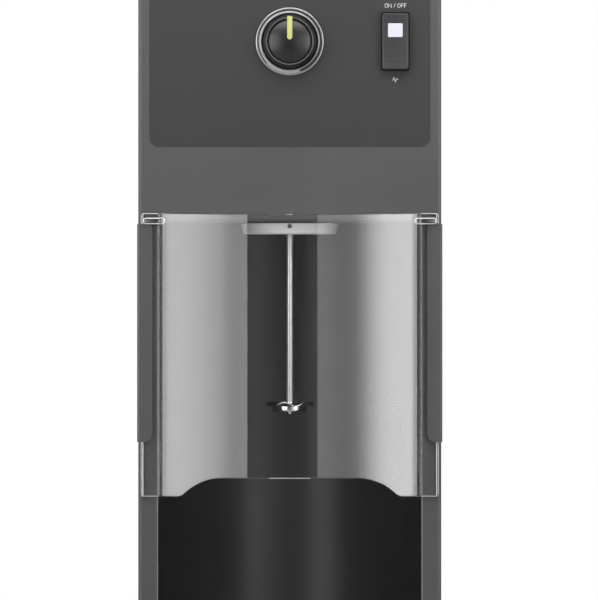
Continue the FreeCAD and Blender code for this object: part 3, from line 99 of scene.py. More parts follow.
def soft_box(name, inner, outer, low, high, stops, stand_off=1900.0):
    """Area lamp between two directions from the shield's middle, in degrees to its right.

    The stops are pairs of share of its width, from the inner edge outwards, and brightness.
    """
    middle, half = math.radians((inner + outer) / 2), math.radians(abs(outer - inner) / 2)
    rise = (low + high) / 2
    spot = (math.sin(middle) * stand_off, front_y - math.cos(middle) * stand_off, rise)
    lamp = hung_lamp(name, 2 * stand_off * math.tan(half), high - low, spot, (0, front_y, rise))
    peak = max(glow for share, glow in stops)
    lamp.energy = math.pi * lamp.size * lamp.size_y * peak
    lamp.use_nodes = True
    nodes, links = lamp.node_tree.nodes, lamp.node_tree.links
    place = nodes.new("ShaderNodeNewGeometry")
    across = nodes.new("ShaderNodeSeparateXYZ")
    fall = nodes.new("ShaderNodeValToRGB")
    fall.color_ramp.interpolation = "CARDINAL"
    ramp = fall.color_ramp.elements
    while len(ramp) < len(stops):
        ramp.new(0.5)
    if outer < inner:
        stops = [(1 - share, glow) for share, glow in reversed(stops)]
    for stop, (share, glow) in zip(ramp, stops):
        stop.position = share
        stop.color = (glow / peak, glow / peak, glow / peak, 1)
    links.new(place.outputs["Parametric"], across.inputs[0])
    links.new(across.outputs["X"], fall.inputs["Fac"])
    links.new(fall.outputs["Color"], nodes["Emission"].inputs["Color"])


left_glow = [
    (0, 2.0), (0.11, 2.15), (0.19, 2.95), (0.34, 4.1), (0.53, 4.7), (0.562, 4.0), (0.594, 2.3),
    (1, 1.2),
]
right_glow = [
    (0, 1.05), (0.21, 1.15), (0.28, 1.65), (0.34, 3.0), (0.41, 4.8), (0.5, 5.8), (0.602, 5.75),
    (0.64, 1.2), (1, 1.1),
]
front_low, front_high, side_low, side_high = 180.0, 1150.0, 300.0, 1200.0
soft_box("left_soft_box", -17.0, -76.0, front_low, front_high, left_glow)
soft_box("right_soft_box", 11.0, 74.0, front_low, front_high, right_glow)
soft_box("left_side_box", -80.0, -128.0, side_low, side_high, [(0, 1.4), (1, 0.6)])
soft_box("right_side_box", 78.0, 126.0, side_low, side_high, [(0, 1.2), (1, 0.5)])
soft_box("rear_soft_box", 155.0, 205.0, 500.0, 1700.0, [(0, 0.9), (1, 0.9)], stand_off=2400.0)
top_light = hung_lamp("top_soft_box", 900.0, 350.0, (0.0, -550.0, 1050.0), (0, front_y, 620))
top_light.energy = 4.8


def reckoned(tree, operation, first, second):
    """Output of a math node that works on two outputs, or on an output and a number."""
    node = tree.nodes.new("ShaderNodeMath")
    node.operation = operation
    for socket, source in zip(node.inputs, (first, second)):
        if isinstance(source, float):
            socket.default_value = source
        else:
            tree.links.new(source, socket)
    return node.outputs[0]


def blended(tree, share, first, second, end):
    """Puts a blend of two shaders on a node tree's end."""
    choice = tree.nodes.new("ShaderNodeMixShader")
    tree.links.new(share, choice.inputs[0])
    tree.links.new(first.outputs[0], choice.inputs[1])
    tree.links.new(second.outputs[0], choice.inputs[2])
    tree.links.new(choice.outputs[0], tree.nodes[end].inputs["Surface"])


paper_from = 0.995
studio = bpy.data.worlds.new("pale_studio")
scene.world = studio
studio.use_nodes = True
tree = studio.node_tree
room = tree.nodes["Background"]
room.inputs["Color"].default_value = (0.05, 0.05, 0.052, 1)
paper = tree.nodes.new("ShaderNodeBackground")
paper.inputs["Color"].default_value = (1, 1, 1, 1)
ray = tree.nodes.new("ShaderNodeLightPath")
way = tree.nodes.new("ShaderNodeTexCoord")
facing = tree.nodes.new("ShaderNodeSeparateXYZ")
tree.links.new(way.outputs["Generated"], facing.inputs[0])
behind = reckoned(tree, "GREATER_THAN", facing.outputs["Y"], paper_from)
bent = reckoned(tree, "MAXIMUM", ray.outputs["Is Transmission Ray"], ray.outputs["Is Glossy Ray"])
bent_behind = reckoned(tree, "MULTIPLY", bent, behind)
seen = reckoned(tree, "MAXIMUM", ray.outputs["Is Camera Ray"], bent_behind)
blended(tree, seen, room, paper, "World Output")

floor_radius, fade_from, fade_to = 3000.0, 700.0, 2600.0
floor_mesh = bpy.data.meshes.new("floor")
rim_angles = [math.radians(a) for a in range(0, 360, 3)]
floor_rim = [(floor_radius * math.cos(a) * MM, floor_radius * math.sin(a) * MM, 0) for a in rim_angles]
floor_mesh.from_pydata(floor_rim, [], [list(range(len(floor_rim)))])
floor = bpy.data.objects.new("floor", floor_mesh)
scene.collection.objects.link(floor)
floor_paper = bpy.data.materials.new("floor_paper")
floor_paper.use_nodes = True
tree = floor_paper.node_tree
matt = tree.nodes["Principled BSDF"]
matt.inputs["Base Color"].default_value = (0.82, 0.82, 0.82, 1)
matt.inputs["Roughness"].default_value = 0.9
place = tree.nodes.new("ShaderNodeTexCoord")
far = tree.nodes.new("ShaderNodeVectorMath")
far.operation = "LENGTH"
fade = tree.nodes.new("ShaderNodeMapRange")
fade.inputs["From Min"].default_value = fade_from * MM
fade.inputs["From Max"].default_value = fade_to * MM
white = tree.nodes.new("ShaderNodeEmission")
ray = tree.nodes.new("ShaderNodeLightPath")
tree.links.new(place.outputs["Object"], far.inputs[0])
tree.links.new(far.outputs["Value"], fade.inputs["Value"])
seen = reckoned(tree, "MULTIPLY", fade.outputs["Result"], ray.outputs["Is Camera Ray"])
blended(tree, seen, matt, white, "Material Output")
floor_mesh.materials.append(floor_paper)


# Cabinet. The front and both sides are one folded steel sheet under a steel cap, closed by a rear
# cover and sprayed with dark grey powder coat, which leaves a fine orange peel. The shield's two
# guides are spot-welded to it and wear the same coat.
def finish(
    name, colour, roughness, grain=700.0, relief=0.15, drift=0.06, stretch=(1, 1, 1), **fixed
):
    """Surface with its own grain, a slow drift of tone and a little change in gloss."""
    drift_scale, drift_detail, grain_detail = 9.0, 3.0, 2.0
    grain_depth, gloss_spread = 0.02, 0.12
    material = bpy.data.materials.new(name)
    material.use_nodes = True
    nodes, links = material.node_tree.nodes, material.node_tree.links
    surface = nodes["Principled BSDF"]
    for socket, value in fixed.items():
        surface.inputs[socket.replace("_", " ")].default_value = value
    place = nodes.new("ShaderNodeTexCoord")
    spread = nodes.new("ShaderNodeMapping")
    spread.inputs["Scale"].default_value = stretch
    links.new(place.outputs["Object"], spread.inputs["Vector"])
    cloud = nodes.new("ShaderNodeTexNoise")
    cloud.inputs["Scale"].default_value = drift_scale
    cloud.inputs["Detail"].default_value = drift_detail
    links.new(place.outputs["Object"], cloud.inputs["Vector"])
    tone = nodes.new("ShaderNodeValToRGB")
    darker, lighter = tone.color_ramp.elements
    darker.position, lighter.position = 0.3, 0.7
    darker.color = (*[c * (1 - drift) for c in colour], 1)
    lighter.color = (*[min(c * (1 + drift), 1) for c in colour], 1)
    links.new(cloud.outputs["Fac"], tone.inputs["Fac"])
    links.new(tone.outputs["Color"], surface.inputs["Base Color"])
    peel = nodes.new("ShaderNodeTexNoise")
    peel.inputs["Scale"].default_value = grain
    peel.inputs["Detail"].default_value = grain_detail
    links.new(spread.outputs["Vector"], peel.inputs["Vector"])
    gloss = nodes.new("ShaderNodeMapRange")
    gloss.inputs["To Min"].default_value = roughness * (1 - gloss_spread)
    gloss.inputs["To Max"].default_value = min(roughness * (1 + gloss_spread), 1.0)
    links.new(peel.outputs["Fac"], gloss.inputs["Value"])
    links.new(gloss.outputs["Result"], surface.inputs["Roughness"])
    bump = nodes.new("ShaderNodeBump")
    bump.inputs["Strength"].default_value = relief
    bump.inputs["Distance"].default_value = grain_depth * MM
    links.new(peel.outputs["Fac"], bump.inputs["Height"])
    links.new(bump.outputs["Normal"], surface.inputs["Normal"])
    return material


def coat(material, *nodes):
    """Puts a finish on pieces that keep their CAD shape."""
    for node in nodes:
        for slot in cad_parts[node].material_slots:
            slot.material = material


powder_coat = finish("dark_grey_powder_coat", (0.068, 0.068, 0.0692), 0.37, grain=900.0, relief=0.3)
coat(
    powder_coat, "cabinet_shell", "top_cap", "rear_cover", "shield_guide_left", "shield_guide_right"
)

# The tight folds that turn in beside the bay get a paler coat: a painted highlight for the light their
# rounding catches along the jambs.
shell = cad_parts["cabinet_shell"]
jamb_edge, hem_rounding, hem_slack, least_lean = 99.0, 1.0, 0.1, 0.04
hem_highlight_paint = finish("painted_hem_highlight", (0.15, 0.15, 0.152), 0.3, grain=900.0, relief=0.3)
shell.data.materials.append(hem_highlight_paint)
for face in shell.data.polygons:
    x, y, z = (shell.matrix_world @ face.center) / MM
    across_hem = jamb_edge - hem_slack < abs(x) < jamb_edge + hem_rounding
    beside_bay = y < front_y + hem_rounding and z < bay_top_height
    if across_hem and beside_bay and abs(face.normal.x) > least_lean:
        face.material_index = 1

# Pan, bay floor and motor plate: pressed zinc-plated sheet, hidden except from below and at the
# bay's foot. The screws, posts and lock nuts are plated the same way.
zinc = finish(
    "zinc_plate", (0.52, 0.53, 0.54), 0.36, grain=160.0, relief=0.1, drift=0.12, Metallic=1.0
)
coat(zinc, "base_pan", "bay_floor", "motor_plate")
plated = finish("plated_screws", (0.5, 0.5, 0.5), 0.28, grain=1500.0, relief=0.08, Metallic=1.0)
coat(
    plated, "rear_cover_screws", "foot_screws", "bearing_housing_screws", "motor_posts",
    "potentiometer_nut", "gland_nut", "collar_screw",
)


# Bay liner. A one-piece black moulding with straight sides, a half-round back centred on the
# spindle and a flat ceiling with the spindle's hole. It is glossy enough to wipe clean.
def eased(corners, closed=True, step=9.0):
    """Points of an outline through corners (u, v, radius), each corner turned by its radius."""
    line = []
    count = len(corners)
    for i, (u, v, radius) in enumerate(corners):
        here = Vector((u, v))
        if radius <= 0 or (not closed and i in (0, count - 1)):
            line.append(here)
            continue
        back = (Vector(corners[i - 1][:2]) - here).normalized()
        ahead = (Vector(corners[(i + 1) % count][:2]) - here).normalized()
        half = back.angle(ahead) / 2
        centre = here + (back + ahead).normalized() * (radius / math.sin(half))
        first = here + back * (radius / math.tan(half)) - centre
        last = here + ahead * (radius / math.tan(half)) - centre
        swing = math.atan2(first.x * last.y - first.y * last.x, first.dot(last))
        pieces = max(2, math.ceil(abs(math.degrees(swing)) / step))
        for k in range(pieces + 1):
            a = swing * k / pieces
            across = first.x * math.cos(a) - first.y * math.sin(a)
            along = first.x * math.sin(a) + first.y * math.cos(a)
            line.append(centre + Vector((across, along)))
    return line


def skin(rings, count, loop=False):
    """Faces that join rings of points one to the next, and close the ends or meet the first."""
    faces = []
    for ring in range(rings if loop else rings - 1):
        here, ahead = ring * count, (ring + 1) % rings * count
        for k in range(count):
            m = (k + 1) % count
            faces.append((here + k, here + m, ahead + m, ahead + k))
    if not loop:
        faces += [tuple(range(count)), tuple((rings - 1) * count + k for k in range(count))]
    return faces


def piece(name, points, faces, material, sharp=32.0):
    """Mesh from points in millimetres, its faces turned outwards and its soft edges smooth."""
    same_spot, no_length = 1e-6, 1e-7
    mesh = bpy.data.meshes.new(name)
    mesh.from_pydata([Vector(p) * MM for p in points], [], faces)
    work = bmesh.new()
    work.from_mesh(mesh)
    bmesh.ops.remove_doubles(work, verts=work.verts, dist=same_spot)
    bmesh.ops.dissolve_degenerate(work, edges=work.edges, dist=no_length)
    bmesh.ops.recalc_face_normals(work, faces=work.faces)
    work.to_mesh(mesh)
    work.free()
    mesh.shade_smooth()
    mesh.set_sharp_from_angle(angle=math.radians(sharp))
    mesh.materials.append(material)
    obj = bpy.data.objects.new(name, mesh)
    scene.collection.objects.link(obj)
    return obj


def fit(obj, body, slot, *nodes):
    """Fixes a piece to its body and hides the CAD solids that it stands for. Its slot is not used."""
    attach(obj, body)
    if nodes:
        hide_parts(*nodes)


liner_low, liner_high = corners_of("bay_liner")
liner_wall, mouth_radius, cove = 2.5, 18.3, 5.0
spindle_y = liner_high.y - liner_high.x
liner_front = liner_low.y
bay_half = liner_high.x - liner_wall
liner_ceiling = liner_high.z - liner_wall


def liner_edge(angle, half):
    """Point of the liner's D-shaped plan in a direction from the spindle."""
    x, y = math.sin(angle), math.cos(angle)
    if y >= 0:
        return half * x, spindle_y + half * y
    reach_side = half / abs(x) if x else math.inf
    reach_front = (liner_front - spindle_y) / y
    reach_out = min(reach_side, reach_front)
    return reach_out * x, spindle_y + reach_out * y


def liner_angles(half):
    """Directions from the spindle round the plan: the back's arc, then both sides and the front."""
    arc_step, side_strips, front_strips = 2, 6, 8
    square = math.pi / 2
    corner = math.atan2(half, liner_front - spindle_y)
    back = [math.radians(a) for a in range(-90, 91, arc_step)]
    side = [square + (corner - square) * k / side_strips for k in range(1, side_strips + 1)]
    across = [corner + (math.pi - corner) * k / front_strips for k in range(1, front_strips + 1)]
    right = back + side + across
    return right + [-a for a in reversed(across[:-1])] + [-a for a in reversed(side)]


inside, outside = liner_angles(bay_half), liner_angles(bay_half + liner_wall)
levels = [(liner_low.z, 0.0), (liner_ceiling - cove, 0.0)]
for degrees in (18, 36, 54, 72, 90):
    a = math.radians(degrees)
    levels.append((liner_ceiling - cove + cove * math.sin(a), cove * (1 - math.cos(a))))
points, faces = [], []
for z, inwards in levels:
    points += [(*liner_edge(a, bay_half - inwards), z) for a in inside]
for z in (liner_ceiling, liner_high.z):
    mouth = [(mouth_radius * math.sin(a), spindle_y + mouth_radius * math.cos(a)) for a in inside]
    points += [(x, y, z) for x, y in mouth]
for z in (liner_high.z, liner_low.z):
    points += [(*liner_edge(a, bay_half + liner_wall), z) for a in outside]
count, ceiling_row = len(inside), len(levels) - 1
rows = len(points) // count
for row in range(rows):
    here, ahead = row * count, (row + 1) % rows * count
    for k in range(count):
        m = (k + 1) % count
        at_front = all(abs(points[here + i][1] - liner_front) < 0.01 for i in (k, m))
        if at_front and row != ceiling_row:
            continue
        faces.append((here + k, here + m, ahead + m, ahead + k))
black_moulding = finish(
    "black_liner_moulding", (0.021, 0.021, 0.0216), 0.3, grain=420.0, relief=0.05, IOR=1.6
)
liner = piece("moulded_liner", points, faces, black_moulding)
fit(liner, "cabinet", "black_liner", "bay_liner")

# Drip tray and grille. The tray is a shallow black moulding with a finger lip. The grille is flat
# stainless bars, brushed from side to side, on three rails and four legs that stand in the tray.
tray_plastic = finish("tray_moulding", (0.017, 0.017, 0.018), 0.42, grain=500.0, relief=0.2)
coat(tray_plastic, "drip_tray")
brushed = finish(
    "side_brushed_stainless", (0.56, 0.56, 0.57), 0.3, grain=420.0, relief=0.22,
    stretch=(0.02, 1, 1), Metallic=1.0,
)
coat(brushed, "drip_grille")

# Splash shield. Clear polycarbonate sheet, heat-bent into a bow with drafted side walls and flat
# wings, with a waved lower edge that clears the cup. Its edges are flame-polished round, and the
# light they catch along the wings and mid-way along the foot is a painted highlight. Two stop lugs
# are bonded to the wings and rest on the guides.
shield_low, shield_high = corners_of("splash_shield")
shield_sheet, shield_gap = 2.5, 0.6
bow_shoulder, bow_half, bow_draft, shoulder_radius, wing_bend = 15.8, 98.8, 1.5, 2.6, 0.4
wave_flat, wave_rise, wave_upper, wave_lower = 50.7, 13.9, 41.2, 7.4
top_dip, wing_corner, edge_radius = 0.85, 2.0, 0.55


def polycarbonate(name):
    """Clear sheet that lets most light straight through to what is behind it."""
    material = bpy.data.materials.new(name)
    material.use_nodes = True
    tree = material.node_tree
    surface = tree.nodes["Principled BSDF"]
    surface.inputs["Base Color"].default_value = (0.985, 0.99, 0.99, 1)
    surface.inputs["Transmission Weight"].default_value = 1.0
    surface.inputs["IOR"].default_value = 1.585
    surface.inputs["Roughness"].default_value = 0.0
    through = tree.nodes.new("ShaderNodeBsdfTransparent")
    through.inputs["Color"].default_value = (0.94, 0.945, 0.945, 1)
    ray = tree.nodes.new("ShaderNodeLightPath")
    blended(tree, ray.outputs["Is Shadow Ray"], surface, through, "Material Output")
    return material


def corner_cut(x):
    """How far the wing's rounded corner cuts in at a place across the shield."""
    into = max(abs(x) - (shield_high.x - wing_corner), 0)
    return wing_corner - math.sqrt(max(wing_corner**2 - into**2, 0))


def shield_foot(x):
    """Height of the shield's waved lower edge at a place across it."""
    x = abs(x)
    turn = math.acos(1 - wave_rise / (wave_upper + wave_lower))
    foot = wave_flat + (wave_upper + wave_lower) * math.sin(turn)
    if x <= wave_flat:
        return shield_low.z + wave_rise
    if x <= wave_flat + wave_upper * math.sin(turn):
        fall = wave_upper - math.sqrt(wave_upper**2 - (x - wave_flat) ** 2)
        return shield_low.z + wave_rise - fall
    if x <= foot:
        return shield_low.z + wave_lower - math.sqrt(wave_lower**2 - (foot - x) ** 2)
    return shield_low.z + corner_cut(x)


def shield_head(x):
    """Height of its upper edge, which sags a little between the shoulders."""
    sag = top_dip * max(1 - (x / bow_half) ** 2, 0)
    return shield_high.z - sag - corner_cut(x)


y_wing = front_y - shield_gap - shield_sheet
y_shoulder = front_y - shield_gap - bow_shoulder
chord = bow_half - bow_draft
bow_rise = y_shoulder - shield_low.y
bend_room = shoulder_radius * 0.6
slope = 2 * math.atan(bow_rise / (chord + bend_room))
bow_radius = (chord / math.cos(slope) - bend_room) / math.tan(slope)
bends = eased(
    [
        (shield_low.x, y_wing, 0),
        (-bow_half, y_wing, wing_bend),
        (-chord, y_shoulder, shoulder_radius),
        (0, y_shoulder - chord * math.tan(slope), 0),
        (chord, y_shoulder, shoulder_radius),
        (bow_half, y_wing, wing_bend),
        (shield_high.x, y_wing, 0),
    ],
    closed=False, step=4.0,
)
front_line = eased(
    [(x, y, 0 if abs(x) > 0.01 else bow_radius) for x, y in bends], closed=False, step=0.3
)
wing_strips = (0.0, 0.06, 0.2, 0.4, 1.15, 1.85)
inner_reach = shield_high.x - wing_strips[-1] - 0.3
left_wing = [Vector((shield_low.x + s, y_wing)) for s in wing_strips]
right_wing = [Vector((shield_high.x - s, y_wing)) for s in reversed(wing_strips)]
plan = left_wing + [spot for spot in front_line if abs(spot.x) < inner_reach] + right_wing
edge_strip, least_flat = 0.4, 0.04
points = []
for i, spot in enumerate(plan):
    heading = (plan[min(i + 1, len(plan) - 1)] - plan[max(i - 1, 0)]).normalized()
    inward = Vector((-heading.y, heading.x))
    near = min(shield_high.x - abs(spot.x), edge_radius)
    bite = edge_radius - math.sqrt(edge_radius**2 - (edge_radius - near) ** 2)
    foot, head, back = shield_foot(spot.x), shield_head(spot.x), shield_sheet - bite
    ease = min(edge_radius, (back - bite - least_flat) / 2)
    flat_low, flat_high = foot + ease + edge_strip, head - ease - edge_strip
    section = eased(
        [
            (bite, foot, ease), (bite, flat_low, 0), (bite, flat_high, 0), (bite, head, ease),
            (back, head, ease), (back, flat_high, 0), (back, flat_low, 0), (back, foot, ease),
        ],
        step=30.0,
    )
    points += [(*(spot + inward * depth), z) for depth, z in section]
clear_sheet = polycarbonate("clear_polycarbonate")
edge_highlight_paint = finish(
    "painted_edge_highlight", (0.62, 0.63, 0.63), 0.18, grain=120.0, relief=0.05, drift=0.08
)
shield = piece("bowed_shield", points, skin(len(plan), len(section)), clear_sheet, sharp=30.0)
shield.data.materials.append(edge_highlight_paint)
# A pale opaque finish on the wings' edge lines and the middle of the lower edge is a painted highlight
# for the light the polished edges catch.
highlight_half_width, wall_margin, on_edge = 15.0, 1.0, edge_radius * 0.8
for face in shield.data.polygons:
    x, y, z = face.center / MM
    outer = shield_high.x - abs(x)
    on_wing = outer < shield_high.x - bow_half - wall_margin
    lower, upper = z < shield_foot(x) + on_edge, z > shield_head(x) - on_edge
    front = face.normal.y < 0.2
    highlight_lines = outer < wing_strips[3] or (front and wing_strips[4] < outer < wing_strips[5])
    middle_edge_highlight = lower and front and abs(x) < highlight_half_width
    if middle_edge_highlight or (on_wing and (lower or upper or highlight_lines)):
        face.material_index = 1
fit(shield, "shield", "clear_plastic", "splash_shield")


def inset(line, distance):
    """Closed outline moved inwards by a distance."""
    sharpest = 0.3
    area = sum(a.x * b.y - a.y * b.x for a, b in zip(line, line[1:] + line[:1]))
    side = 1 if area > 0 else -1
    moved = []
    for i, spot in enumerate(line):
        before, after = spot - line[i - 1], line[(i + 1) % len(line)] - spot
        before, after = before.normalized(), after.normalized()
        normal = Vector((-(before.y + after.y), before.x + after.x)).normalized() * side
        square = Vector((-after.y, after.x)) * side
        moved.append(spot + normal * distance / max(normal.dot(square), sharpest))
    return moved


def pressed(name, line, start, end, ease, material):
    """Prism of an outline in the front view, from one depth to another, with rounded rims."""
    line = [spot for i, spot in enumerate(line) if (spot - line[i - 1]).length > 1e-4]
    way = 1 if end > start else -1
    bites = [(0.0, 1.0), (0.07, 0.62), (0.3, 0.3), (0.62, 0.07), (1.0, 0.0)]
    stack = [(start + way * ease * a, ease * b) for a, b in bites]
    stack += [(end - way * ease * a, ease * b) for a, b in reversed(bites)]
    points = []
    for level, bite in stack:
        points += [(spot.x, level, spot.y) for spot in inset(line, bite)]
    return piece(name, points, skin(len(stack), len(line)), material)


def four_corners(first, last, low, high, radius):
    """Corners of an upright rectangle in the front view, each with the same rounding."""
    return [(first, low, radius), (last, low, radius), (last, high, radius), (first, high, radius)]


lug_long, lug_tall, lug_deep, lug_inset, lug_lift, lug_rim = 17.0, 4.8, 5.0, 1.6, 0.9, 1.0
bond_gap, hair = 0.03, 0.02
lug_rim_highlight_paint = finish(
    "painted_lug_rim_highlight", (0.86, 0.87, 0.87), 0.16, grain=140.0, relief=0.05, drift=0.08
)
lug_low = bay_top_height - lug_lift
for side, word in ((-1, "left"), (1, "right")):
    outer = side * (shield_high.x - lug_inset)
    inner = outer - side * lug_long
    corners = four_corners(inner, outer, lug_low, lug_low + lug_tall, lug_tall / 2 - hair)
    lug = pressed(
        word + "_stop_lug", eased(corners, step=12.0), y_wing - lug_deep, y_wing - bond_gap,
        lug_rim, clear_sheet,
    )
    # The lugs' sides wear a pale opaque finish, a painted highlight for the light their polished rims
    # catch.
    lug.data.materials.append(lug_rim_highlight_paint)
    for face in lug.data.polygons:
        if abs(face.normal.y) < 0.97:
            face.material_index = 1
    fit(lug, "shield", "clear_plastic", "splash_shield")

# Control panel. A satin dark film with a fine grain stuck on the head, printed in white above and
# below the rocker: ON / OFF, and a small zigzag for its pulse side.
panel_film = finish(
    "satin_panel_film", (0.031, 0.031, 0.032), 0.38, grain=1300.0, relief=0.2, drift=0.03
)
coat(panel_film, "control_panel")
film_y = corners_of("control_panel")[0].y
rocker_low, rocker_high = corners_of("switch_rocker")
rocker_x = (rocker_low.x + rocker_high.x) / 2
control_z = (rocker_low.z + rocker_high.z) / 2
white_ink = finish("white_ink", (0.68, 0.68, 0.68), 0.55, grain=2500.0, relief=0.05, drift=0.04)
ink_thick, shortest_mitre = 0.06, 0.45


def printed(name, lines, stroke):
    """Lines of ink of an even width on the film, each given by its corners (x, z)."""
    points, faces = [], []
    for line in lines:
        first = len(points)
        for i, (x, z) in enumerate(line):
            before = Vector(line[max(i, 1)]) - Vector(line[max(i - 1, 0)])
            ahead = Vector(line[min(i + 1, len(line) - 1)]) - Vector(line[min(i, len(line) - 2)])
            before, ahead = before.normalized(), ahead.normalized()
            across = Vector((-(before.y + ahead.y), before.x + ahead.x)).normalized()
            across *= stroke / max(across.dot(Vector((-ahead.y, ahead.x))), shortest_mitre)
            for way, proud in ((-1, 0.0), (1, 0.0), (1, ink_thick), (-1, ink_thick)):
                points.append((x + way * across.x, film_y - proud, z + way * across.y))
        faces += [tuple(first + k for k in face) for face in skin(len(line), 4)]
    fit(piece(name, points, faces, white_ink, sharp=10.0), "cabinet", "lens_white")


tall, wide_o, cut_across, cut_up = 2.9, 1.95, 0.6, 0.7
round_o = [
    (cut_across, 0), (wide_o - cut_across, 0), (wide_o, cut_up), (wide_o, tall - cut_up),
    (wide_o - cut_across, tall), (cut_across, tall), (0, tall - cut_up), (0, cut_up),
    (cut_across, 0),
]
glyphs = {
    "O": (wide_o, [round_o]),
    "N": (2.1, [[(0, 0), (0, tall), (2.1, 0), (2.1, tall)]]),
    "/": (1.0, [[(0, 0), (1.0, tall)]]),
    "F": (1.5, [[(0, 0), (0, tall), (1.5, tall)], [(0, 1.5), (1.3, 1.5)]]),
    " ": (0.3, []),
}
wording, letter_gap, letter_stroke, pulse_stroke = "ON / OFF", 0.78, 0.16, 0.22
wording_shift, wording_z, pulse_z = 0.3, 675.6, 620.0
breadth = sum(glyphs[letter][0] + letter_gap for letter in wording) - letter_gap
pen_x, pen_z = rocker_x + wording_shift - breadth / 2, wording_z - tall / 2
lines = []
for letter in wording:
    wide, drawn = glyphs[letter]
    lines += [[(pen_x + x, pen_z + z) for x, z in line] for line in drawn]
    pen_x += wide + letter_gap
printed("on_off_print", lines, letter_stroke)
zigzag = [(-2.0, -0.75), (-0.95, 1.45), (0.05, -2.0), (0.85, 0.35), (2.1, 0.2)]
printed("pulse_print", [[(rocker_x + x, pulse_z + z) for x, z in zigzag]], pulse_stroke)


# Knob bezel. A satin silver ring with two bright rims, and a black inlay between them that widens
# clockwise to show the way to more speed. The ring stands on the panel film.
def turned(name, profile, centre, axis, material, segments=128, step=15.0):
    """Ring or disc made on a lathe from corners (radius, place along the axis, rounding)."""
    line = eased(profile, step=step)
    points = []
    for k in range(segments):
        a = 2 * math.pi * k / segments
        for radius, along in line:
            u, v = centre[0] + radius * math.cos(a), centre[1] + radius * math.sin(a)
            points.append((u, v, along) if axis == "Z" else (u, along, v))
    return piece(name, points, skin(segments, len(line), loop=True), material)


bezel_low, bezel_high = corners_of("knob_bezel")
bezel_outer, bezel_face, bezel_back = bezel_high.x, bezel_low.y, bezel_high.y
bezel_rim, bezel_groove, bezel_inner = 1.15, 0.4, 21.0
outer_round, inner_round, groove_lean, groove_round = 0.7, 0.36, 0.1, 0.03
groove_face = bezel_face + bezel_groove
dial = (0.0, control_z)
silver = finish(
    "satin_silver_ring", (0.46, 0.46, 0.46), 0.42, grain=500.0, relief=0.1, stretch=(1, 0.1, 1),
    Metallic=0.6,
)
ring = turned(
    "silver_ring",
    [
        (bezel_inner, bezel_back, 0),
        (bezel_outer, bezel_back, 0),
        (bezel_outer, bezel_face, outer_round),
        (bezel_outer - bezel_rim, bezel_face, inner_round),
        (bezel_outer - bezel_rim - groove_lean, groove_face, groove_round),
        (bezel_inner + bezel_rim + groove_lean, groove_face, groove_round),
        (bezel_inner + bezel_rim, bezel_face, inner_round),
        (bezel_inner, bezel_face, outer_round),
    ],
    dial, "Y", silver, segments=160, step=10.0,
)
bright_rim = finish(
    "bright_silver_rim", (0.52, 0.52, 0.52), 0.34, grain=900.0, relief=0.06, Metallic=1.0
)
ring.data.materials.append(bright_rim)
for face in ring.data.polygons:
    if face.center.y / MM < groove_face - 0.01:
        face.material_index = 1
fit(ring, "cabinet", "bezel_silver", "knob_bezel")
inlay_start, inlay_end = -134.0, 162.0
inlay_outer, inlay_thin, inlay_wide, inlay_proud = 24.2, 0.65, 1.95, 0.12
steps, blunt_steps, least_blunt = 120, 3, 0.05
points = []
for k in range(steps + 1):
    share = k / steps
    a = math.radians(90 - (inlay_start + (inlay_end - inlay_start) * share))
    width = inlay_thin + (inlay_wide - inlay_thin) * share
    from_end = (1 - share) * steps / blunt_steps
    blunt = math.sqrt(max(1 - (from_end - 1) ** 2, least_blunt)) if from_end < 1 else 1.0
    middle = inlay_outer - width / 2
    for way, proud in ((-0.5, 0.0), (0.5, 0.0), (0.5, inlay_proud), (-0.5, inlay_proud)):
        radius = middle + way * width * blunt
        across, up = radius * math.cos(a), radius * math.sin(a)
        points.append((across, groove_face - proud, control_z + up))
black_inlay = finish("black_inlay", (0.018, 0.018, 0.019), 0.45, grain=2000.0, relief=0.1)
inlay = piece("speed_inlay", points, skin(steps + 1, 4), black_inlay)
fit(inlay, "cabinet", "knob_black", "knob_bezel")

# Speed knob. Moulded in black with a tapered skirt, a rounded shoulder, a fine groove and a
# slightly domed face. A pale yellow-green bar is pressed into it from the shoulder to the middle.
knob_low, knob_high = corners_of("speed_knob")
knob_face, knob_back, knob_radius = knob_low.y, knob_high.y, knob_high.x
face_radius, shoulder_inner, shoulder_outer = 16.6, 17.0, 18.6
dome_rise, dome_steps = 2.8, (16.0, 14.5, 12.5, 10.0, 7.5, 5.0, 2.5, 0.0)
groove_deep, groove_side, bead_wide, skirt_start = 1.2, 0.1, 0.6, shoulder_outer - 0.3
dome_foot = knob_face + dome_rise
knob_plastic = finish(
    "satin_black_knob", (0.011, 0.011, 0.0116), 0.27, grain=1600.0, relief=0.12, drift=0.08
)
knob = turned(
    "knob_turning",
    [
        (0, knob_back, 0),
        (knob_radius, knob_back, 0.4),
        (shoulder_outer, knob_face, 0.9),
        (shoulder_inner, knob_face, 0.35),
        (shoulder_inner - groove_side, dome_foot + groove_deep, 0),
        (face_radius + groove_side, dome_foot + groove_deep, 0),
        (face_radius, dome_foot, 0.3),
        *[(r, knob_face + dome_rise * (r / face_radius) ** 2, 0) for r in dome_steps],
    ],
    dial, "Y", knob_plastic, segments=160, step=8.0,
)
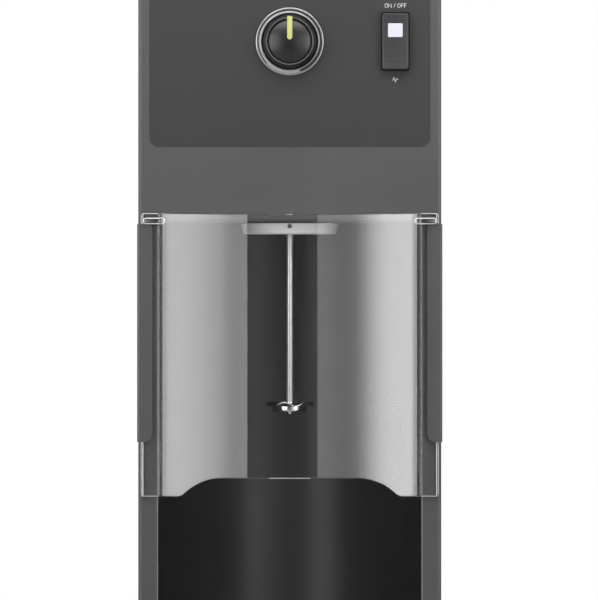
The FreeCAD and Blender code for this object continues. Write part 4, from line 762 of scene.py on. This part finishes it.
# The shoulder's rounded bead is painted grey: a painted highlight for the thin light it catches all
# round.
bead_highlight_paint = finish(
    "painted_knob_bead_highlight", (0.085, 0.085, 0.086), 0.24, grain=1600.0, relief=0.06, drift=0.08
)
matt_skirt = finish(
    "matt_knob_skirt", (0.008, 0.008, 0.0085), 0.5, grain=1600.0, relief=0.12,
    Specular_IOR_Level=0.2,
)
knob.data.materials.append(bead_highlight_paint)
knob.data.materials.append(matt_skirt)
for face in knob.data.polygons:
    x, y, z = face.center / MM
    from_axis = math.hypot(x, z - control_z)
    on_bead = shoulder_inner - 0.02 < from_axis < shoulder_inner + bead_wide
    if on_bead and y < knob_face + 0.5:
        face.material_index = 1
    if from_axis > skirt_start:
        face.material_index = 2
fit(knob, "knob", "knob_black", "speed_knob")
pointer_low, pointer_high = corners_of("knob_pointer")
pointer_half, pointer_tip, pointer_rim = 1.92, 0.5, 0.2
corners = [
    (-pointer_half, pointer_low.z, pointer_half - 0.01),
    (pointer_half, pointer_low.z, pointer_half - 0.01),
    (pointer_half, pointer_high.z, pointer_tip),
    (-pointer_half, pointer_high.z, pointer_tip),
]
yellow = finish(
    "pale_yellow_green", (0.47, 0.47, 0.155), 0.4, grain=1800.0, relief=0.08, drift=0.03
)
pointer = pressed(
    "pointer_bar", eased(corners), pointer_low.y, pointer_high.y, pointer_rim, yellow
)
fit(pointer, "knob", "pointer_yellow", "knob_pointer")
turned_steel = finish("turned_steel", (0.5, 0.5, 0.51), 0.25, grain=900.0, relief=0.1, Metallic=1.0)
coat(turned_steel, "potentiometer", "potentiometer_shaft", "switch_pin", "switch_terminals")

# Rocker switch. A black snap-in body with a thin frame, and a rocker dished along its length with
# fine raised dots for the finger. A white lens is clipped in its upper half and lit from inside.
switch_plastic = finish(
    "black_switch_moulding", (0.034, 0.034, 0.036), 0.34, grain=1900.0, relief=0.3, drift=0.05
)
# The frame is far darker than the rocker: partly its own black, partly painted shade for the contact
# shadow round the rocker.
frame_black_and_shade = finish("black_frame_and_painted_shade", (0.006, 0.006, 0.006), 0.6, Specular_IOR_Level=0.2)
coat(frame_black_and_shade, "switch_housing")
rocker_half_wide = (rocker_high.x - rocker_low.x) / 2
rocker_half_tall = (rocker_high.z - rocker_low.z) / 2
frame_rise = 1.6
frame_y = film_y - frame_rise
dish_end, dish_middle = 7.2, 5.8
under_end, under_middle, under_flat = 5.2, 1.3, 5.0
corner_round, rim_round, rim_turns = 2.0, 0.9, (0.4, 0.8, 1.2)


def rocker_face(z):
    """Depth of the rocker's dished front at a height from its middle."""
    return frame_y - dish_middle - (dish_end - dish_middle) * (z / rocker_half_tall) ** 2


points = []
rocker_strips = 24
for k in range(-rocker_strips, rocker_strips + 1):
    h = rocker_half_tall * math.sin(math.pi / 2 * k / rocker_strips)
    from_end = rocker_half_tall - abs(h)
    cut = max(corner_round - from_end, 0)
    half = rocker_half_wide - corner_round + math.sqrt(max(corner_round**2 - cut**2, hair**2))
    drop = max(rim_round - from_end, 0)
    fall = rim_round - math.sqrt(max(rim_round**2 - drop**2, 0))
    front = rocker_face(h) + fall
    outward = max(abs(h) - under_flat, 0) / (rocker_half_tall - under_flat)
    under = frame_y - under_middle - (under_end - under_middle) * outward
    rim = [(rim_round * (1 - math.cos(a)), rim_round * (1 - math.sin(a))) for a in rim_turns]
    section = [(-half, under), (-half, front + rim_round)]
    section += [(-half + across, front + back) for across, back in rim]
    section += [(-half + rim_round, front), (0, front), (half - rim_round, front)]
    section += [(half - across, front + back) for across, back in reversed(rim)]
    section += [(half, front + rim_round), (half, under)]
    points += [(rocker_x + x, y, control_z + h) for x, y in section]
faces = skin(2 * rocker_strips + 1, len(section))
rocker = piece("dished_rocker", points, faces, switch_plastic, sharp=40.0)
fit(rocker, "rocker", "switch_black", "switch_rocker")
full_row, side_pair = (-6.75, -2.25, 2.25, 6.75), (-7.6, 7.6)
dot_rows = [(16.4, full_row), (12.0, side_pair), (-10.4, full_row), (-14.9, full_row)]
dot_profile, dot_sides = ((0.95, -0.1), (0.8, 0.3), (0.4, 0.55)), 12
points, faces = [], []
for rise, columns in dot_rows:
    for column in columns:
        first = len(points)
        for radius, proud in dot_profile:
            for k in range(dot_sides):
                a = 2 * math.pi * k / dot_sides
                x, z = column + radius * math.cos(a), rise + radius * math.sin(a)
                points.append((rocker_x + x, rocker_face(z) - proud, control_z + z))
        faces += [tuple(first + k for k in face) for face in skin(len(dot_profile), dot_sides)]
dots = piece("rocker_dots", points, faces, switch_plastic, sharp=60.0)
fit(dots, "rocker", "switch_black", "switch_rocker")
lens_low, lens_high = corners_of("switch_lens")
lens_corner, lens_rim = 1.0, 0.45
corners = four_corners(lens_low.x, lens_high.x, lens_low.z, lens_high.z, lens_corner)
lit_lens = finish(
    "lit_white_lens", (0.55, 0.55, 0.61), 0.25, grain=300.0, relief=0.03, drift=0.04,
    Emission_Color=(0.83, 0.84, 1.0, 1), Emission_Strength=0.06,
)
lens = pressed("lit_lens", eased(corners), lens_low.y, lens_high.y, lens_rim, lit_lens)
fit(lens, "rocker", "lens_white", "switch_lens")

# Agitator train. A satin stainless shaft hangs from the spindle's socket, with a light grey
# splash collar clamped under the ceiling by a set screw. At its tip a wavy pressed disc is held
# between a collar nut and a rounded button with a domed nut.
polished = finish(
    "polished_stainless", (0.62, 0.62, 0.63), 0.2, grain=260.0, relief=0.06,
    stretch=(1, 1, 0.05), Metallic=1.0,
)
satin = finish(
    "satin_stainless", (0.54, 0.54, 0.55), 0.34, grain=260.0, relief=0.06,
    stretch=(1, 1, 0.05), Metallic=0.85,
)
spindle_centre = (0.0, spindle_y)
stem_low, stem_high = corners_of("agitator_shaft")
stem_radius, stem_round = stem_high.x, 0.3
bore = stem_radius + 0.05
stem = turned(
    "agitator_stem",
    [
        (0, stem_low.z, 0),
        (stem_radius, stem_low.z, stem_round),
        (stem_radius, stem_high.z, stem_round),
        (0, stem_high.z, 0),
    ],
    spindle_centre, "Z", satin, segments=64,
)
fit(stem, "spindle", "spindle_steel", "agitator_shaft")

disc_low, disc_high = corners_of("agitator_disc")
disc_z, disc_radius = (disc_low.z + disc_high.z) / 2, disc_high.x
disc_sheet, disc_flat, disc_waves, wave_height, wave_growth = 1.2, 8.0, 6, 1.5, 1.15
disc_steps, disc_strips, rim_strips = 180, 12, 6
half_sheet = disc_sheet / 2
waved = disc_radius - half_sheet - disc_flat
top_line = [(disc_flat + waved * k / disc_strips, half_sheet) for k in range(disc_strips + 1)]
turn_over = [math.pi * k / rim_strips for k in range(1, rim_strips)]
section = [(bore, half_sheet), *top_line]
section += [(disc_flat + waved + half_sheet * math.sin(a), half_sheet * math.cos(a)) for a in turn_over]
section += [(radius, -half_sheet) for radius, thick in reversed(top_line)]
section += [(bore, -half_sheet)]
points = []
for k in range(disc_steps):
    a = 2 * math.pi * k / disc_steps
    for radius, thick in section:
        share = max(radius - disc_flat, 0) / (disc_radius - disc_flat)
        lift = wave_height * share**wave_growth * math.sin(disc_waves * a)
        across, along = radius * math.cos(a), radius * math.sin(a)
        points.append((across, spindle_y + along, disc_z + lift + thick))
faces = skin(disc_steps, len(section), loop=True)
agitator = piece("wavy_disc", points, faces, polished, sharp=45.0)
fit(agitator, "spindle", "agitator_steel", "agitator_disc")
button_low, button_high = corners_of("agitator_button")
button_edge, button_round, button_crown = 0.85, 1.5, 0.6
button = turned(
    "agitator_boss",
    [
        (bore, button_low.z, 0),
        (button_high.x, button_low.z, button_round),
        (button_high.x, button_high.z - button_edge, button_crown),
        (disc_flat, button_high.z, 0),
        (bore, button_high.z, 0),
    ],
    spindle_centre, "Z", polished, segments=96, step=8.0,
)
fit(button, "spindle", "agitator_steel", "agitator_button")
nuts_low, nuts_high = corners_of("agitator_nuts")
tip_radius, tip_dome, collar_nut_radius, collar_nut_tall = 2.9, 2.0, 3.4, 1.4
dome = turned(
    "domed_nut",
    [
        (0, nuts_low.z, 0),
        (tip_radius, nuts_low.z, tip_dome),
        (tip_radius, button_low.z, 0),
        (0, button_low.z, 0),
    ],
    spindle_centre, "Z", polished, segments=48, step=8.0,
)
fit(dome, "spindle", "spindle_steel", "agitator_nuts")
collar_nut_low = nuts_high.z - collar_nut_tall
collar_nut = turned(
    "collar_nut",
    [
        (bore, collar_nut_low, 0),
        (collar_nut_radius, collar_nut_low, 0),
        (collar_nut_radius, nuts_high.z, 0.3),
        (bore, nuts_high.z, 0),
    ],
    spindle_centre, "Z", polished, segments=48,
)
fit(collar_nut, "spindle", "spindle_steel", "agitator_nuts")
grey_moulding = finish(
    "light_grey_moulding", (0.95, 0.95, 0.95), 0.55, grain=700.0, relief=0.15, drift=0.03,
    Metallic=0.15,
)
coat(grey_moulding, "splash_collar")
coat(turned_steel, "drive_spindle", "motor_shaft")

# Inside the head: cast bearing housing and motor bells, the wound motor on its rubber mounts, the
# jaw coupling and the control board. Only the vents show any of it.
cast = finish(
    "cast_alloy", (0.5, 0.5, 0.51), 0.48, grain=350.0, relief=0.3, drift=0.1, Metallic=1.0
)
coat(
    cast, "bearing_housing", "lower_coupling_hub", "upper_coupling_hub", "motor_lower_bell",
    "motor_upper_bell",
)
ground = finish("ground_steel", (0.58, 0.58, 0.6), 0.2, grain=1200.0, relief=0.05, Metallic=1.0)
coat(
    ground, "spindle_bearing_outer_races", "spindle_bearing_inner_races",
    "motor_bearing_outer_races", "motor_bearing_inner_races",
)
laminated = finish(
    "laminated_iron", (0.16, 0.16, 0.17), 0.45, grain=900.0, relief=0.4, stretch=(0.1, 0.1, 1),
    Metallic=1.0,
)
coat(laminated, "motor_field", "armature")
copper = finish(
    "lacquered_copper", (0.55, 0.25, 0.12), 0.35, grain=900.0, relief=0.3, stretch=(1, 1, 0.1),
    Metallic=1.0,
)
coat(copper, "field_coils", "commutator", "brush_holders")
carbon = finish("carbon_brush", (0.02, 0.02, 0.02), 0.6, relief=0.3)
coat(carbon, "carbon_brushes")
nylon = finish("black_nylon", (0.03, 0.03, 0.03), 0.45, grain=900.0)
coat(nylon, "motor_fan", "board_standoffs", "cord_gland")
green_board = finish("green_board", (0.02, 0.11, 0.05), 0.35, grain=400.0, drift=0.2)
coat(green_board, "control_board")

# Rubber: four round feet screwed up through the pan, the shaft seal, the coupling's star and the
# motor mounts. Matt black, with a mould bloom.
rubber = finish("black_rubber", (0.022, 0.022, 0.022), 0.72, grain=1100.0, relief=0.4, drift=0.15)
coat(rubber, "rubber_feet", "shaft_seal", "coupling_spider", "motor_isolators")
